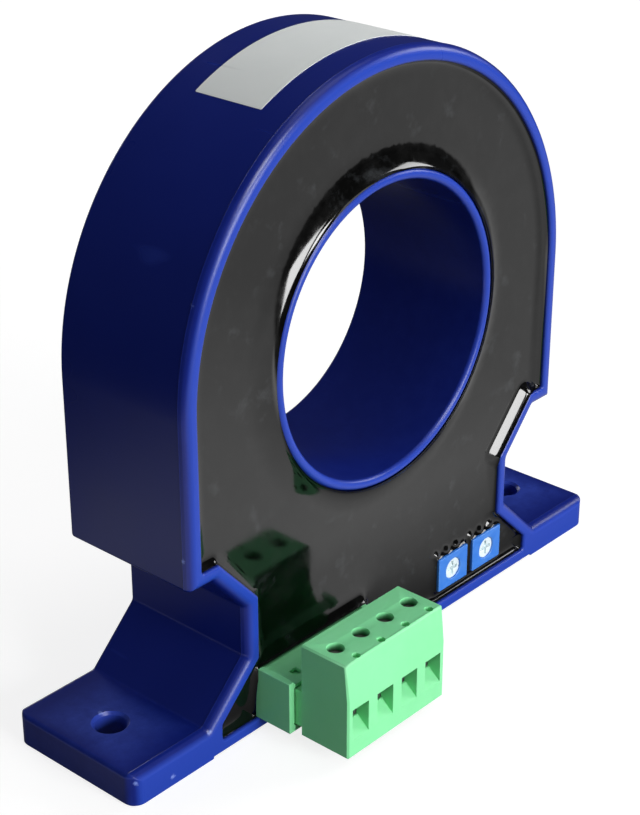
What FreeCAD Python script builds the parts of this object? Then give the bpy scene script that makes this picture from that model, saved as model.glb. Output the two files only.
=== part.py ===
"""Open-loop current transducer with a round window, a potted front and a pluggable terminal block.

The origin is the middle of the mounting base, +X is to the right seen from the potted front,
+Z is up and the potted front faces -Y. All lengths are millimetres.
"""
import FreeCAD, Part
import os
import re
import Sketcher
from FreeCAD import Vector

NEAR = 0.01
"""How near an edge has to lie to a place to be picked for a round."""

doc = FreeCAD.newDocument("current_transducer")
sheet = doc.addObject("Spreadsheet::Sheet", "sizes")

# Driving dimensions, each written once
DRIVING = [
    # moulded housing
    ("depth", 23.0, "front rim to back face"),
    ("outer_radius", 39.2, "arch, and half the width of the straight sides"),
    ("bore_rise", 23.8, "window centre above the ledge"),
    ("window_radius", 21.2, "free window for the conductor"),
    ("tube_wall", 1.5, "wall of the tube that lines the window"),
    ("side_wall", 2.2, "outer wall"),
    ("back_wall", 2.0, "closed back"),
    ("floor_wall", 1.5, "wall under the lower compartment"),
    ("body_bottom", 27.0, "height of the ledge under the round body"),
    ("ledge", 4.4, "width of that ledge"),
    ("taper_x", 5.9, "taper from ledge to neck, across"),
    ("taper_z", 6.6, "taper from ledge to neck, down"),
    ("neck_bottom", 12.5, "height where the neck starts to flare"),
    ("slope_x", 7.9, "flare from neck to foot, across"),
    ("foot_top", 4.8, "thickness of a foot"),
    ("foot_length", 14.0, "flare to the end of a foot"),
    ("foot_relief", 0.35, "the middle of the base stands this much clear"),
    ("relief_inset", 0.8, "end of that relief inside the end of the flare"),
    ("toe_inset", 2.8, "end of the lower compartment inside the end of the flare"),
    ("rim_fillet", 1.4, "round along the front edges"),
    ("back_fillet", 0.6, "round along the back edges"),
    ("foot_corner", 2.0, "upright corners of the feet"),
    ("hole_edge", 6.8, "centre of a fixing hole to the end of its foot"),
    ("hole_radius", 2.25, "fixing hole, for a 4 mm screw"),
    ("hole_chamfer", 0.4, "lead-in at the top of a fixing hole"),
    # potting compound
    ("potting_recess", 1.3, "level surface below the rim"),
    ("meniscus_edge", 0.5, "top of the climbed edge below the rim"),
    ("meniscus_width", 0.8, "flat top of the climbed edge"),
    ("meniscus_slope", 55, "flank of the climbed edge, degrees from the window axis"),
    # rating label, blank
    ("label_length", 38.8, "along the arch"),
    ("label_width", 11.5, "across the arch"),
    ("label_shift", 0.3, "middle of the label behind the middle of the housing"),
    ("label_thick", 0.12, "film"),
    # magnetic core
    ("core_inside", 1.3, "ring to the tube"),
    ("core_outside", 2.4, "ring to the outer wall"),
    ("core_ahead", 1.05, "ring to the circuit board"),
    ("core_gap", 2.2, "air gap that holds the sensing element"),
    # sensing element
    ("hall_thick", 1.5, "across the gap"),
    ("hall_width", 4.1, "up the gap"),
    ("hall_length", 3.2, "along the window axis"),
    ("hall_lead", 0.45, "square lead"),
    ("hall_pitch", 1.27, "lead spacing"),
    # circuit board
    ("board_thick", 1.6, "glass laminate"),
    ("board_clear", 0.6, "to the walls"),
    ("board_tube", 3.7, "upper edge to the tube"),
    ("tail", 1.4, "lead past the back of the board"),
    # header
    ("pole_pitch", 5.08, "terminal pitch"),
    ("first_pole", -23.46, "x of the left pole"),
    ("header_proud", 5.65, "front of the header ahead of the rim"),
    ("header_depth", 12.0, "front of the header to the board"),
    ("header_height", 8.0, "outside"),
    ("header_side", 1.04, "overhang past the plug at each end"),
    ("header_wall", 1.0, "shroud wall"),
    ("header_base", 3.0, "solid back of the shroud"),
    ("pin_size", 1.0, "square header pin"),
    ("pin_height", 3.6, "pin above the underside of the header"),
    ("pin_setback", 1.6, "pin tip behind the header front"),
    # plug
    ("plug_gap", 1.25, "shoulder of the plug ahead of the header"),
    ("plug_reach", 8.3, "front of the plug ahead of its shoulder"),
    ("plug_bottom", 1.6, "underside above the base plane"),
    ("plug_height", 14.65, "underside to top"),
    ("plug_lean", 0.55, "upper front leans back by this"),
    ("plug_knee", 9.2, "lean starts this far above the underside"),
    ("tongue_clear", 0.2, "tongue to shroud, all round"),
    ("tongue_end_clear", 0.4, "tongue tip to the shroud's back"),
    ("screw_setback", 4.5, "screw axis behind the plug front"),
    ("entry_width", 3.3, "wire entry"),
    ("entry_height", 3.1, "wire entry"),
    ("entry_floor", 4.5, "wire entry above the underside"),
    ("entry_lintel", 0.3, "plastic between the wire entry and the current bar"),
    ("funnel_drop", 1.7, "sloping shelf below the entry"),
    ("funnel_depth", 1.9, "depth of that shelf"),
    ("probe_radius", 0.6, "test probe hole"),
    ("probe_depth", 2.0, "test probe hole"),
    ("probe_setback", 1.35, "test probe hole behind the front"),
    ("probe_side", 0.5, "test probe hole beside the screw"),
    ("plug_edge", 0.25, "bevel along the edges of the plug"),
    # clamp
    ("screw_radius", 1.2, "shank over its thread"),
    ("thread_clear", 0.07, "shank to the threaded wall of the cage"),
    ("head_radius", 1.62, "screw head"),
    ("head_clear", 0.09, "head to its shaft in the plug"),
    ("head_height", 1.1, "screw head"),
    ("head_sunk", 1.3, "head below the top of the plug"),
    ("head_lift", 0.15, "head to the lid over it"),
    ("head_seat", 0.4, "ledge under the head"),
    ("driver_radius", 1.25, "driver hole over the head"),
    ("slot_width", 0.6, "driver slot"),
    ("slot_depth", 0.8, "driver slot"),
    ("cage_width", 4.1, "across the pole"),
    ("cage_length", 4.3, "along the wire"),
    ("cage_wall", 0.7, "side and bottom walls"),
    ("cage_top", 1.1, "threaded wall"),
    ("cage_travel", 1.6, "lift from open to clamped"),
    ("cage_clear", 0.15, "cage to its pocket in the plug"),
    ("bar_thick", 0.7, "current bar"),
    ("bar_width", 2.4, "current bar"),
    ("bar_bite", 0.5, "current bar into the plastic ahead of the cage"),
    ("bar_clear", 0.15, "bar to the plug"),
    ("leaf_thick", 0.45, "one leaf of the fork contact"),
    ("leaf_clear", 0.05, "leaf to the pin"),
    ("leaf_height", 2.2, "leaf"),
    # trimmers
    ("trimmer_first", 16.5, "x of the left trimmer"),
    ("trimmer_pitch", 8.2, "between the two trimmers"),
    ("trimmer_height", 6.15, "rotor axis above the base plane"),
    ("trimmer_width", 6.9, "case, across"),
    ("trimmer_tall", 5.5, "case, up"),
    ("trimmer_recess", 0.5, "case front below the rim"),
    ("trimmer_wall", 1.2, "front wall of the case"),
    ("rotor_radius", 1.65, "visible neck of the rotor"),
    ("rotor_clear", 0.06, "neck to the case"),
    ("rotor_sunk", 0.25, "neck below the case front"),
    ("flange_radius", 2.15, "rotor flange inside the case"),
    ("flange_thick", 1.1, "rotor flange"),
    ("cross_width", 0.5, "driver cross"),
    ("cross_depth", 0.6, "driver cross"),
    ("cross_length", 2.4, "driver cross"),
    ("wiper_thick", 0.3, "spring wiper"),
    ("element_thick", 0.9, "ceramic element"),
    ("trimmer_lead", 0.55, "lead"),
    ("trimmer_lead_pitch", 2.4, "lead spacing"),
    ("trimmer_lead_shift", -0.9, "middle lead from the rotor axis"),
    ("trimmer_lead_rise", 0.9, "lead above the case"),
    # parts on the board
    ("amplifier_x", 2.0, "place of the amplifier chip"),
    ("amplifier_length", 4.9, "package"),
    ("amplifier_width", 3.9, "package"),
    ("amplifier_thick", 1.4, "package"),
    ("amplifier_pitch", 1.27, "between its feet"),
    ("reference_x", 11.5, "place of the reference chip"),
    ("reference_length", 2.9, "package"),
    ("reference_width", 1.3, "package"),
    ("reference_thick", 1.0, "package"),
    ("reference_pitch", 1.9, "between its feet"),
    ("chip_foot", 0.4, "gull-wing foot"),
    ("chip_stand", 0.15, "package above the board"),
    ("chip_drop", 8.9, "middle of the chips below the upper edge of the board"),
    ("small_drop", 3.4, "upper row of small parts below the same edge"),
    ("small_length", 2.0, "chip resistor or capacitor"),
    ("small_width", 1.25, "chip resistor or capacitor"),
    ("small_thick", 0.6, "chip resistor or capacitor"),
    ("resistor_x", -19.0, "first chip resistor"),
    ("ceramic_x", 7.2, "first chip capacitor"),
    ("small_pitch", 4.2, "between small parts"),
    ("can_x", -1.5, "first supply capacitor"),
    ("can_pitch", 7.0, "between the supply capacitors"),
    ("can_row", 8.6, "height of the supply capacitors"),
    ("can_radius", 2.5, "supply capacitor"),
    ("can_length", 8.0, "supply capacitor"),
    ("can_lead", 0.5, "supply capacitor lead"),
    ("can_spread", 2.0, "supply capacitor lead spacing"),
]
for number, (alias, value, note) in enumerate(DRIVING, start=1):
    sheet.set(f"A{number}", alias)
    sheet.set(f"B{number}", str(value))
    sheet.set(f"C{number}", note)
    sheet.setAlias(f"B{number}", alias)
doc.recompute()

# Sizes that follow from the driving ones, as text for expressions
DERIVED = {
    "front_y": "(-depth / 2)",
    "back_y": "(depth / 2)",
    "tube_radius": "(window_radius + tube_wall)",
    "neck_half": "(outer_radius - ledge - taper_x)",
    "foot_start": "(neck_half + slope_x)",
    "foot_end": "(foot_start + foot_length)",
    "relief_half": "(foot_start - relief_inset)",
    "cavity_half": "(foot_start - toe_inset)",
    "hole_x": "(foot_end - hole_edge)",
    "bore_height": "(body_bottom + bore_rise)",
    "floor_z": "(foot_relief + floor_wall)",
    "potting_y": "(front_y + potting_recess)",
    "header_y": "(front_y - header_proud)",
    "header_x": "(first_pole - pole_pitch / 2 - header_side)",
    "header_length": "(4 * pole_pitch + 2 * header_side)",
    "header_top": "(floor_z + header_height)",
    "board_y": "(header_y + header_depth)",
    "board_back": "(board_y + board_thick)",
    "board_top": "(bore_height - tube_radius - board_tube)",
    "chip_row": "(board_top - chip_drop)",
    "small_row": "(board_top - small_drop)",
    "core_inner": "(tube_radius + core_inside)",
    "core_outer": "(outer_radius - side_wall - core_outside)",
    "core_y": "(board_back + core_ahead)",
    "core_depth": "(back_y - back_wall - core_y)",
    "core_middle": "(bore_height - (core_inner + core_outer) / 2)",
    "hall_y": "(core_y + core_depth / 2 - hall_length / 2)",
    "pin_z": "(floor_z + pin_height)",
    "shoulder_y": "(header_y - plug_gap)",
    "plug_y": "(shoulder_y - plug_reach)",
    "plug_x": "(first_pole - pole_pitch / 2)",
    "plug_top": "(plug_bottom + plug_height)",
    "tongue_tip": "(header_y + header_depth - header_base - tongue_end_clear)",
    "screw_y": "(plug_y + screw_setback)",
    "head_top": "(plug_top - head_sunk)",
    "head_bottom": "(head_top - head_height)",
    "entry_z": "(plug_bottom + entry_floor)",
    "bar_z": "(entry_z + entry_height + entry_lintel)",
    "cage_low": "(entry_z - cage_wall)",
    "pocket_top": "(head_bottom - head_seat)",
    "cage_high": "(pocket_top - cage_travel - cage_clear)",
    "web_y": "(screw_y + cage_length / 2 + 2 * cage_clear)",
    "trimmer_y": "(front_y + trimmer_recess)",
    "trimmer_depth": "(board_y - trimmer_y)",
    "rotor_front": "(trimmer_y + rotor_sunk)",
    "flange_y": "(trimmer_y + trimmer_wall + rotor_clear)",
    "element_y": "(board_y - element_thick)",
}
ALIASES = {alias for alias, _, _ in DRIVING}


def expand(text):
    """Writes an expression out in sheet cells, working through the derived sizes."""
    text = str(text)
    while True:
        wider = re.sub(r"\b[a-z_]+\b", lambda word: DERIVED.get(word.group(), word.group()), text)
        if wider == text:
            break
        text = wider
    return re.sub(r"\b[a-z_]+\b",
                  lambda word: "sizes." * (word.group() in ALIASES) + word.group(), text)


def value(text):
    """The present value of an expression, in millimetres or plain numbers."""
    return float(sheet.evalExpression(expand(text)))


def bind(target, prop, text):
    """Ties one property of an object to an expression in the sheet's cells."""
    target.setExpression(prop, expand(text))


# Part primitives, each placed by its lowest corner or by the middle of its first face
def box(name, x, y, z, length, width, height):
    solid = doc.addObject("Part::Box", name)
    for prop, text in (("Length", length), ("Width", width), ("Height", height),
                       ("Placement.Base.x", x), ("Placement.Base.y", y), ("Placement.Base.z", z)):
        bind(solid, prop, text)
    return solid


TURNS = {"z": (Vector(0, 0, 1), 0), "y": (Vector(1, 0, 0), -90), "x": (Vector(0, 1, 0), 90)}


def cylinder(name, axis, x, y, z, radius, height):
    solid = doc.addObject("Part::Cylinder", name)
    solid.Placement.Rotation = FreeCAD.Rotation(*TURNS[axis])
    for prop, text in (("Radius", radius), ("Height", height),
                       ("Placement.Base.x", x), ("Placement.Base.y", y), ("Placement.Base.z", z)):
        bind(solid, prop, text)
    return solid


def fuse(name, solids):
    joined = doc.addObject("Part::MultiFuse", name)
    joined.Shapes = solids
    joined.Refine = True
    return joined


def cut(name, base, tools):
    rest = doc.addObject("Part::Cut", name)
    rest.Base = base
    rest.Tool = tools[0] if len(tools) == 1 else fuse(name + "_tools", tools)
    rest.Refine = True
    return rest


def group(name, solids):
    together = doc.addObject("Part::Compound", name)
    together.Links = solids
    return together


# Sketches and bodies
def new_body(name):
    return doc.addObject("PartDesign::Body", name)


def new_sketch(body, name, plane, offset="0"):
    """A sketch on one of the body's own planes, moved along that plane's normal."""
    sketch = body.newObject("Sketcher::SketchObject", name)
    role = [feature for feature in body.Origin.OriginFeatures if feature.Role == plane][0]
    sketch.AttachmentSupport = [(role, "")]
    sketch.MapMode = "FlatFace"
    bind(sketch, "AttachmentOffset.Base.z", offset)
    return sketch


def pin_point(sketch, geometry, point, axes, where):
    """Holds one point of a sketch at a place given by two expressions."""
    for axis, text in zip("XY", where):
        if axis in axes:
            index = sketch.addConstraint(
                Sketcher.Constraint("Distance" + axis, -1, 1, geometry, point, value(text)))
            bind(sketch, f"Constraints[{index}]", text)


def draw_outline(sketch, corners):
    """Draws a closed outline. A corner is (x, y), or (x, y, arc centre x, arc centre y) where an arc
    leaves it anticlockwise to the next corner, whose x then follows from the arc."""
    first = sketch.GeometryCount
    count = len(corners)
    for here, ahead in zip(corners, corners[1:] + corners[:1]):
        start = Vector(value(here[0]), value(here[1]), 0)
        end = Vector(value(ahead[0]), value(ahead[1]), 0)
        if len(here) == 2:
            sketch.addGeometry(Part.LineSegment(start, end))
            continue
        centre = Vector(value(here[2]), value(here[3]), 0)
        circle = Part.Circle(centre, Vector(0, 0, 1), (start - centre).Length)
        sketch.addGeometry(Part.ArcOfCircle(circle, circle.parameter(start), circle.parameter(end)))
    for number, here in enumerate(corners):
        edge, before = first + number, corners[number - 1]
        sketch.addConstraint(Sketcher.Constraint("Coincident", first + (number - 1) % count, 2, edge, 1))
        pin_point(sketch, edge, 1, "Y" if len(before) == 4 else "XY", here[:2])
        if len(here) == 4:
            pin_point(sketch, edge, 3, "XY", here[2:])


def draw_circle(sketch, x, y, radius):
    circle = Part.Circle(Vector(value(x), value(y), 0), Vector(0, 0, 1), value(radius))
    index = sketch.addGeometry(circle)
    pin_point(sketch, index, 3, "XY", (x, y))
    size = sketch.addConstraint(Sketcher.Constraint("Radius", index, value(radius)))
    bind(sketch, f"Constraints[{size}]", radius)


def extrude(body, kind, name, sketch, length, reverse=False):
    """A Pad or a Pocket of one sketch."""
    feature = body.newObject("PartDesign::" + kind, name)
    feature.Profile = sketch
    feature.Reversed = reverse
    bind(feature, "Length", length)
    doc.recompute()
    return feature


def round_edges(body, name, radius, chosen, kind="Fillet"):
    """A Fillet or a Chamfer on the edges of the body's tip that the test picks."""
    tip = body.Tip
    edges = [f"Edge{number}" for number, edge in enumerate(tip.Shape.Edges, start=1) if chosen(edge)]
    feature = body.newObject("PartDesign::" + kind, name)
    feature.Base = (tip, edges)
    bind(feature, "Radius" if kind == "Fillet" else "Size", radius)
    doc.recompute()
    return feature


def lies_at(edge, axis, text):
    """Whether a whole edge lies at one height along an axis."""
    room = edge.BoundBox
    low, high = getattr(room, axis + "Min"), getattr(room, axis + "Max")
    return max(abs(low - value(text)), abs(high - value(text))) < NEAR


def is_circle(edge, radius):
    """Whether an edge is a circle, or an arc, of one radius."""
    return edge.Curve.TypeId == "Part::GeomCircle" and abs(edge.Curve.Radius - value(radius)) < NEAR


def mirrored(half):
    """Both halves of an outline from its left half, listed downwards."""
    right = [("-(" + x + ")", y) for x, y in reversed(half)]
    return half + right


def lower_outline(inset):
    """Left half of the inside below the arch, or a line that far inside it: ledge, taper, neck and flare."""
    wall = f"(side_wall + {inset})"
    fall = "(slope_x / (neck_bottom - foot_top))"
    low_half = f"(cavity_half - {inset})"
    flare = f"(neck_bottom - {wall} * tan(atan({fall}) / 2))"
    return [
        (f"-(outer_radius - {wall})", f"body_bottom + {wall}"),
        (f"-(outer_radius - ledge - {wall} * tan(atan(taper_z / taper_x) / 2))", f"body_bottom + {wall}"),
        (f"-(neck_half - {wall})", f"body_bottom - taper_z + {wall} * tan(atan(taper_x / taper_z) / 2)"),
        (f"-(neck_half - {wall})", flare),
        (f"-{low_half}", f"{flare} - ({low_half} - neck_half + {wall}) / {fall}"),
        (f"-{low_half}", f"floor_z + {inset}"),
    ]


def arch_outline(inset):
    """The whole inside of the housing, or a line that far inside it."""
    half_arch = f"(outer_radius - side_wall - {inset})"
    return [(half_arch, "bore_height", "0", "bore_height"),
            (f"-{half_arch}", "bore_height")] + mirrored(lower_outline(inset))


# Housing: one moulding with arch, ledges, neck, flare and feet, hollow from the front, with the window's tube
housing = new_body("housing_body")
shape_sketch = new_sketch(housing, "housing_outline", "XZ_Plane", "-back_y")
left_outline = [
    ("-outer_radius", "body_bottom"),
    ("-(outer_radius - ledge)", "body_bottom"),
    ("-neck_half", "body_bottom - taper_z"),
    ("-neck_half", "neck_bottom"),
    ("-foot_start", "foot_top"),
    ("-foot_end", "foot_top"),
    ("-foot_end", "0"),
    ("-relief_half", "0"),
    ("-relief_half", "foot_relief"),
]
draw_outline(shape_sketch, [("outer_radius", "bore_height", "0", "bore_height"),
                            ("-outer_radius", "bore_height")] + mirrored(left_outline))
extrude(housing, "Pad", "housing_block", shape_sketch, "depth")
round_edges(housing, "foot_corners", "foot_corner", lambda edge: edge.BoundBox.YLength < NEAR
            and (lies_at(edge, "X", "-foot_end") or lies_at(edge, "X", "foot_end")))
for name, face, radius in (("rim_round", "front_y", "rim_fillet"), ("back_round", "back_y", "back_fillet")):
    round_edges(housing, name, radius, lambda edge: lies_at(edge, "Y", face)
                and edge.BoundBox.ZMin > value("foot_top") - NEAR)

cavity_sketch = new_sketch(housing, "cavity_outline", "XZ_Plane", "-front_y")
draw_outline(cavity_sketch, arch_outline("0"))
draw_circle(cavity_sketch, "0", "bore_height", "tube_radius")
extrude(housing, "Pocket", "cavity", cavity_sketch, "depth - back_wall")

bore_sketch = new_sketch(housing, "bore_outline", "XZ_Plane", "-front_y")
draw_circle(bore_sketch, "0", "bore_height", "window_radius")
extrude(housing, "Pocket", "bore", bore_sketch, "depth")
round_edges(housing, "bore_leads", "0.3 * tube_wall", lambda edge: is_circle(edge, "window_radius"),
            "Chamfer")

hole_sketch = new_sketch(housing, "hole_outline", "XY_Plane", "foot_top")
for side in ("-", ""):
    draw_circle(hole_sketch, f"{side}hole_x", "0", "hole_radius")
extrude(housing, "Pocket", "fixing_holes", hole_sketch, "foot_top")
round_edges(housing, "hole_leads", "hole_chamfer", lambda edge: lies_at(edge, "Z", "foot_top")
            and is_circle(edge, "hole_radius"), "Chamfer")

# Rating label: a blank film wrapped over the top of the arch
label = new_body("label_body")
label_sketch = new_sketch(label, "label_sector", "XZ_Plane", "-(label_shift + label_width / 2)")
label_radius = "(outer_radius + label_thick)"
half_sector = "(label_length / outer_radius * 90 / pi)"
draw_outline(label_sketch, [
    ("0", "bore_height"),
    (f"{label_radius} * sin({half_sector})", f"bore_height + {label_radius} * cos({half_sector})",
     "0", "bore_height"),
    (f"-{label_radius} * sin({half_sector})", f"bore_height + {label_radius} * cos({half_sector})"),
])
extrude(label, "Pad", "label_wedge", label_sketch, "label_width")
under_label = new_sketch(label, "under_label", "XZ_Plane", "-(label_shift - label_width / 2)")
draw_circle(under_label, "0", "bore_height", "outer_radius")
extrude(label, "Pocket", "label_inside", under_label, "label_width")

# Magnetic core: a wound ring round the tube, seated on the closed back, with its gap at the bottom
core = cut("core", cylinder("core_disc", "y", "0", "core_y", "bore_height", "core_outer", "core_depth"), [
    cylinder("core_hole", "y", "0", "core_y", "bore_height", "core_inner", "core_depth"),
    box("core_slit", "-core_gap / 2", "core_y", "bore_height - core_outer - 1", "core_gap", "core_depth",
        "core_outer - core_inner + 2"),
])

# Sensing element: a flat package across the gap, on three leads from the board
hall_parts = [box("hall_package", "-hall_thick / 2", "hall_y", "core_middle - hall_width / 2",
                  "hall_thick", "hall_length", "hall_width")]
for step in (-1, 0, 1):
    hall_parts.append(box(f"hall_lead_{step + 2}", "-hall_lead / 2", "board_y - 0.5 * tail",
                          f"core_middle + {step} * hall_pitch - hall_lead / 2",
                          "hall_lead", "hall_y - board_y + 0.5 * tail", "hall_lead"))
hall = fuse("hall", hall_parts)


def pole(number):
    """The x of one terminal, counted from 0 at the left."""
    return f"(first_pole + {number} * pole_pitch)"


# Header: an open shroud on the board, with coding slots in its top and four square pins
header_block = box("header_block", "header_x", "header_y", "floor_z",
                   "header_length", "header_depth", "header_height")
header_inside = box("header_inside", "header_x + header_wall", "header_y - 1", "floor_z + header_wall",
                    "header_length - 2 * header_wall", "header_depth - header_base + 1",
                    "header_height - 2 * header_wall")
header_lid = box("header_lid", "header_x + header_wall", "header_y - 1", "header_top - 0.4 * header_wall",
                 "header_length - 2 * header_wall", "header_depth + 2", "header_wall")
pins, coding_slots = [], []
for number in range(4):
    pins.append(box(f"pin_{number + 1}", f"{pole(number)} - pin_size / 2", "header_y + pin_setback",
                    "pin_z - pin_size / 2", "pin_size",
                    "board_back + tail - header_y - pin_setback", "pin_size"))
    coding_slots.append(box(f"coding_slot_{number + 1}", f"{pole(number)} - 0.7 * header_wall",
                            "header_y + 1.4 * header_wall", "header_top - 1.5 * header_wall",
                            "1.4 * header_wall", "1.4 * header_wall", "2 * header_wall"))
header = cut("header", header_block, [header_inside, header_lid] + coding_slots + pins)


# Trimmers: case, ceramic element, rotor with a driver cross, spring wiper and three formed leads each
def trimmer(name, middle):
    left = f"({middle} - trimmer_width / 2)"
    low = "(trimmer_height - trimmer_tall / 2)"
    envelope = box(name + "_envelope", left, "trimmer_y", low,
                   "trimmer_width", "trimmer_depth", "trimmer_tall")
    case_block = box(name + "_block", left, "trimmer_y", low,
                     "trimmer_width", "element_y - trimmer_y", "trimmer_tall")
    case = cut(name + "_case", case_block, [
        cylinder(name + "_window", "y", middle, "trimmer_y - 1", "trimmer_height",
                 "rotor_radius + rotor_clear", "trimmer_wall + 2"),
        cylinder(name + "_chamber", "y", middle, "trimmer_y + trimmer_wall", "trimmer_height",
                 "flange_radius + 4 * rotor_clear", "trimmer_depth"),
    ])
    flange_back = "(flange_y + flange_thick)"
    hub_end = "(board_y - 2 * rotor_clear)"
    rotor = cut(name + "_turning", fuse(name + "_rotor_solid", [
        cylinder(name + "_neck", "y", middle, "rotor_front", "trimmer_height",
                 "rotor_radius", "flange_y - rotor_front"),
        cylinder(name + "_flange", "y", middle, "flange_y", "trimmer_height",
                 "flange_radius", "flange_thick"),
        cylinder(name + "_hub", "y", middle, flange_back, "trimmer_height", "0.45 * rotor_radius",
                 f"{hub_end} - {flange_back}"),
    ]), [
        box(name + "_cross_a", f"{middle} - cross_length / 2", "rotor_front - 1",
            "trimmer_height - cross_width / 2", "cross_length", "cross_depth + 1", "cross_width"),
        box(name + "_cross_b", f"{middle} - cross_width / 2", "rotor_front - 1",
            "trimmer_height - cross_length / 2", "cross_width", "cross_depth + 1", "cross_length"),
    ])
    plate = box(name + "_plate", left, "element_y", low, "trimmer_width", "element_thick", "trimmer_tall")
    element = cut(name + "_ceramic", plate, [
        cylinder(name + "_pivot", "y", middle, "element_y - 1", "trimmer_height",
                 "0.45 * rotor_radius + rotor_clear", "element_thick + 2")])
    finger_y = f"({flange_back} + wiper_thick)"
    wiper = cut(name + "_spring", fuse(name + "_spring_solid", [
        cylinder(name + "_washer", "y", middle, flange_back, "trimmer_height",
                 "0.9 * flange_radius", "wiper_thick"),
        box(name + "_finger", f"{middle} - wiper_thick", finger_y, "trimmer_height + 0.62 * flange_radius",
            "2 * wiper_thick", f"element_y - rotor_clear - {finger_y}", "wiper_thick"),
    ]), [cylinder(name + "_eye", "y", middle, f"{flange_back} - 1", "trimmer_height",
                  "0.45 * rotor_radius", "wiper_thick + 2")])
    leads = []
    for step in (-1, 0, 1):
        lead_x = f"({middle} + trimmer_lead_shift + {step} * trimmer_lead_pitch - trimmer_lead / 2)"
        lead_top = f"({low} + trimmer_tall + trimmer_lead_rise)"
        leads.append(fuse(f"{name}_lead_{step + 2}", [
            box(f"{name}_stub_{step + 2}", lead_x, "trimmer_y + trimmer_wall", f"{low} + trimmer_tall",
                "trimmer_lead", "trimmer_lead", "trimmer_lead_rise"),
            box(f"{name}_run_{step + 2}", lead_x, "trimmer_y + trimmer_wall", f"{lead_top} - trimmer_lead",
                "trimmer_lead", "board_back + 0.5 * tail - trimmer_y - trimmer_wall", "trimmer_lead"),
        ]))
    return envelope, case, rotor, element, wiper, group(name + "_lead_set", leads)


zero = trimmer("zero", "trimmer_first")
gain = trimmer("gain", "(trimmer_first + trimmer_pitch)")


# Chips and small parts on the front of the board
def gull_chip(name, feet_a_side):
    """A moulded package with feet above and below it, soldered flat on the front of the board."""
    front = f"(board_y - chip_stand - {name}_thick)"
    parts = [box(name + "_package", f"{name}_x - {name}_length / 2", front, f"chip_row - {name}_width / 2",
                 name + "_length", name + "_thick", name + "_width")]
    for side in (-1, 1):
        for number in range(feet_a_side):
            step = number - (feet_a_side - 1) / 2
            parts.append(box(f"{name}_foot_{side + 1}_{number}",
                             f"{name}_x + {step} * {name}_pitch - chip_foot / 2",
                             f"{front} + {name}_thick / 2",
                             f"chip_row + {side} * ({name}_width / 2 + chip_foot) - chip_foot",
                             "chip_foot", f"{name}_thick / 2 + chip_stand", "2 * chip_foot"))
    return fuse(name, parts)


def small_parts(name, first_x, places):
    """Two-ended parts in one node, each a separate solid, counted in steps across and in rows down."""
    return group(name, [box(f"{name}_{number}", f"{first_x} + {across} * small_pitch - small_length / 2",
                            "board_y - small_thick", f"small_row - {down} * small_pitch - small_width / 2",
                            "small_length", "small_thick", "small_width")
                        for number, (across, down) in enumerate(places, start=1)])


def can_capacitor(name, x):
    """A radial can lying behind the board, with its two leads through it."""
    parts = [cylinder(name + "_can", "y", x, "board_back", "can_row", "can_radius", "can_length")]
    for side in (-1, 1):
        parts.append(box(f"{name}_lead_{side + 1}", f"{x} + {side} * can_spread / 2 - can_lead / 2",
                         "board_y - 0.5 * tail", "can_row - can_lead / 2",
                         "can_lead", "board_thick + 0.5 * tail", "can_lead"))
    return fuse(name, parts)


amplifier = gull_chip("amplifier", 4)
reference = gull_chip("reference", 2)
resistors = small_parts("resistor", "resistor_x",
                        [(across, down) for down in range(2) for across in range(4)])
ceramics = small_parts("ceramic", "ceramic_x", [(across, 0) for across in range(3)])
positive_can = can_capacitor("positive_can", "can_x")
negative_can = can_capacitor("negative_can", "(can_x + can_pitch)")

# Circuit board: follows the lower inside of the housing and is drilled for every lead
board_body = new_body("board_body")
board_sketch = new_sketch(board_body, "board_outline", "XZ_Plane", "-board_back")
board_half = "(neck_half - side_wall - board_clear)"
draw_outline(board_sketch, mirrored([(f"-{board_half}", "board_top")] + lower_outline("board_clear")[3:]))
extrude(board_body, "Pad", "board_plate", board_sketch, "board_thick")
pin_set = group("pin_set", pins)
board = cut("board", board_body, [pin_set, hall, zero[5], gain[5], positive_can, negative_can])

# Potting compound: fills the housing round everything, dished where it shrank away from its climbed edges
potting_body = new_body("potting_body")
potting_sketch = new_sketch(potting_body, "potting_outline", "XZ_Plane", "-(back_y - back_wall)")
draw_outline(potting_sketch, arch_outline("0"))
draw_circle(potting_sketch, "0", "bore_height", "tube_radius")
extrude(potting_body, "Pad", "potting_block", potting_sketch, "depth - back_wall - meniscus_edge")
dish_sketch = new_sketch(potting_body, "dish_outline", "XZ_Plane", "-(front_y + meniscus_edge)")
draw_outline(dish_sketch, arch_outline("meniscus_width"))
dish = extrude(potting_body, "Pocket", "dish", dish_sketch, "potting_recess - meniscus_edge")
bind(dish, "TaperAngle", "-meniscus_slope")
collar = doc.addObject("Part::Cone", "collar_cone")
collar.Placement.Rotation = FreeCAD.Rotation(*TURNS["y"])
dish_depth = "(potting_recess - meniscus_edge)"
for prop, text in (("Radius1", "tube_radius + meniscus_width"), ("Height", dish_depth),
                   ("Radius2", f"tube_radius + meniscus_width + {dish_depth} * tan(meniscus_slope)"),
                   ("Placement.Base.y", "front_y + meniscus_edge"), ("Placement.Base.z", "bore_height")):
    bind(collar, prop, text)
collar_ring = cut("collar_ring", collar, [
    cylinder("collar_hole", "y", "0", "front_y", "bore_height", "tube_radius", "2 * potting_recess")])
header_envelope = box("header_envelope", "header_x", "header_y", "floor_z",
                      "header_length", "header_depth", "header_height")
potting = cut("potting", fuse("resin", [potting_body, collar_ring]), [
    board_body, header_envelope, core, hall, amplifier, reference, resistors, ceramics,
    positive_can, negative_can, pin_set, zero[0], zero[5], gain[0], gain[5]])

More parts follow.
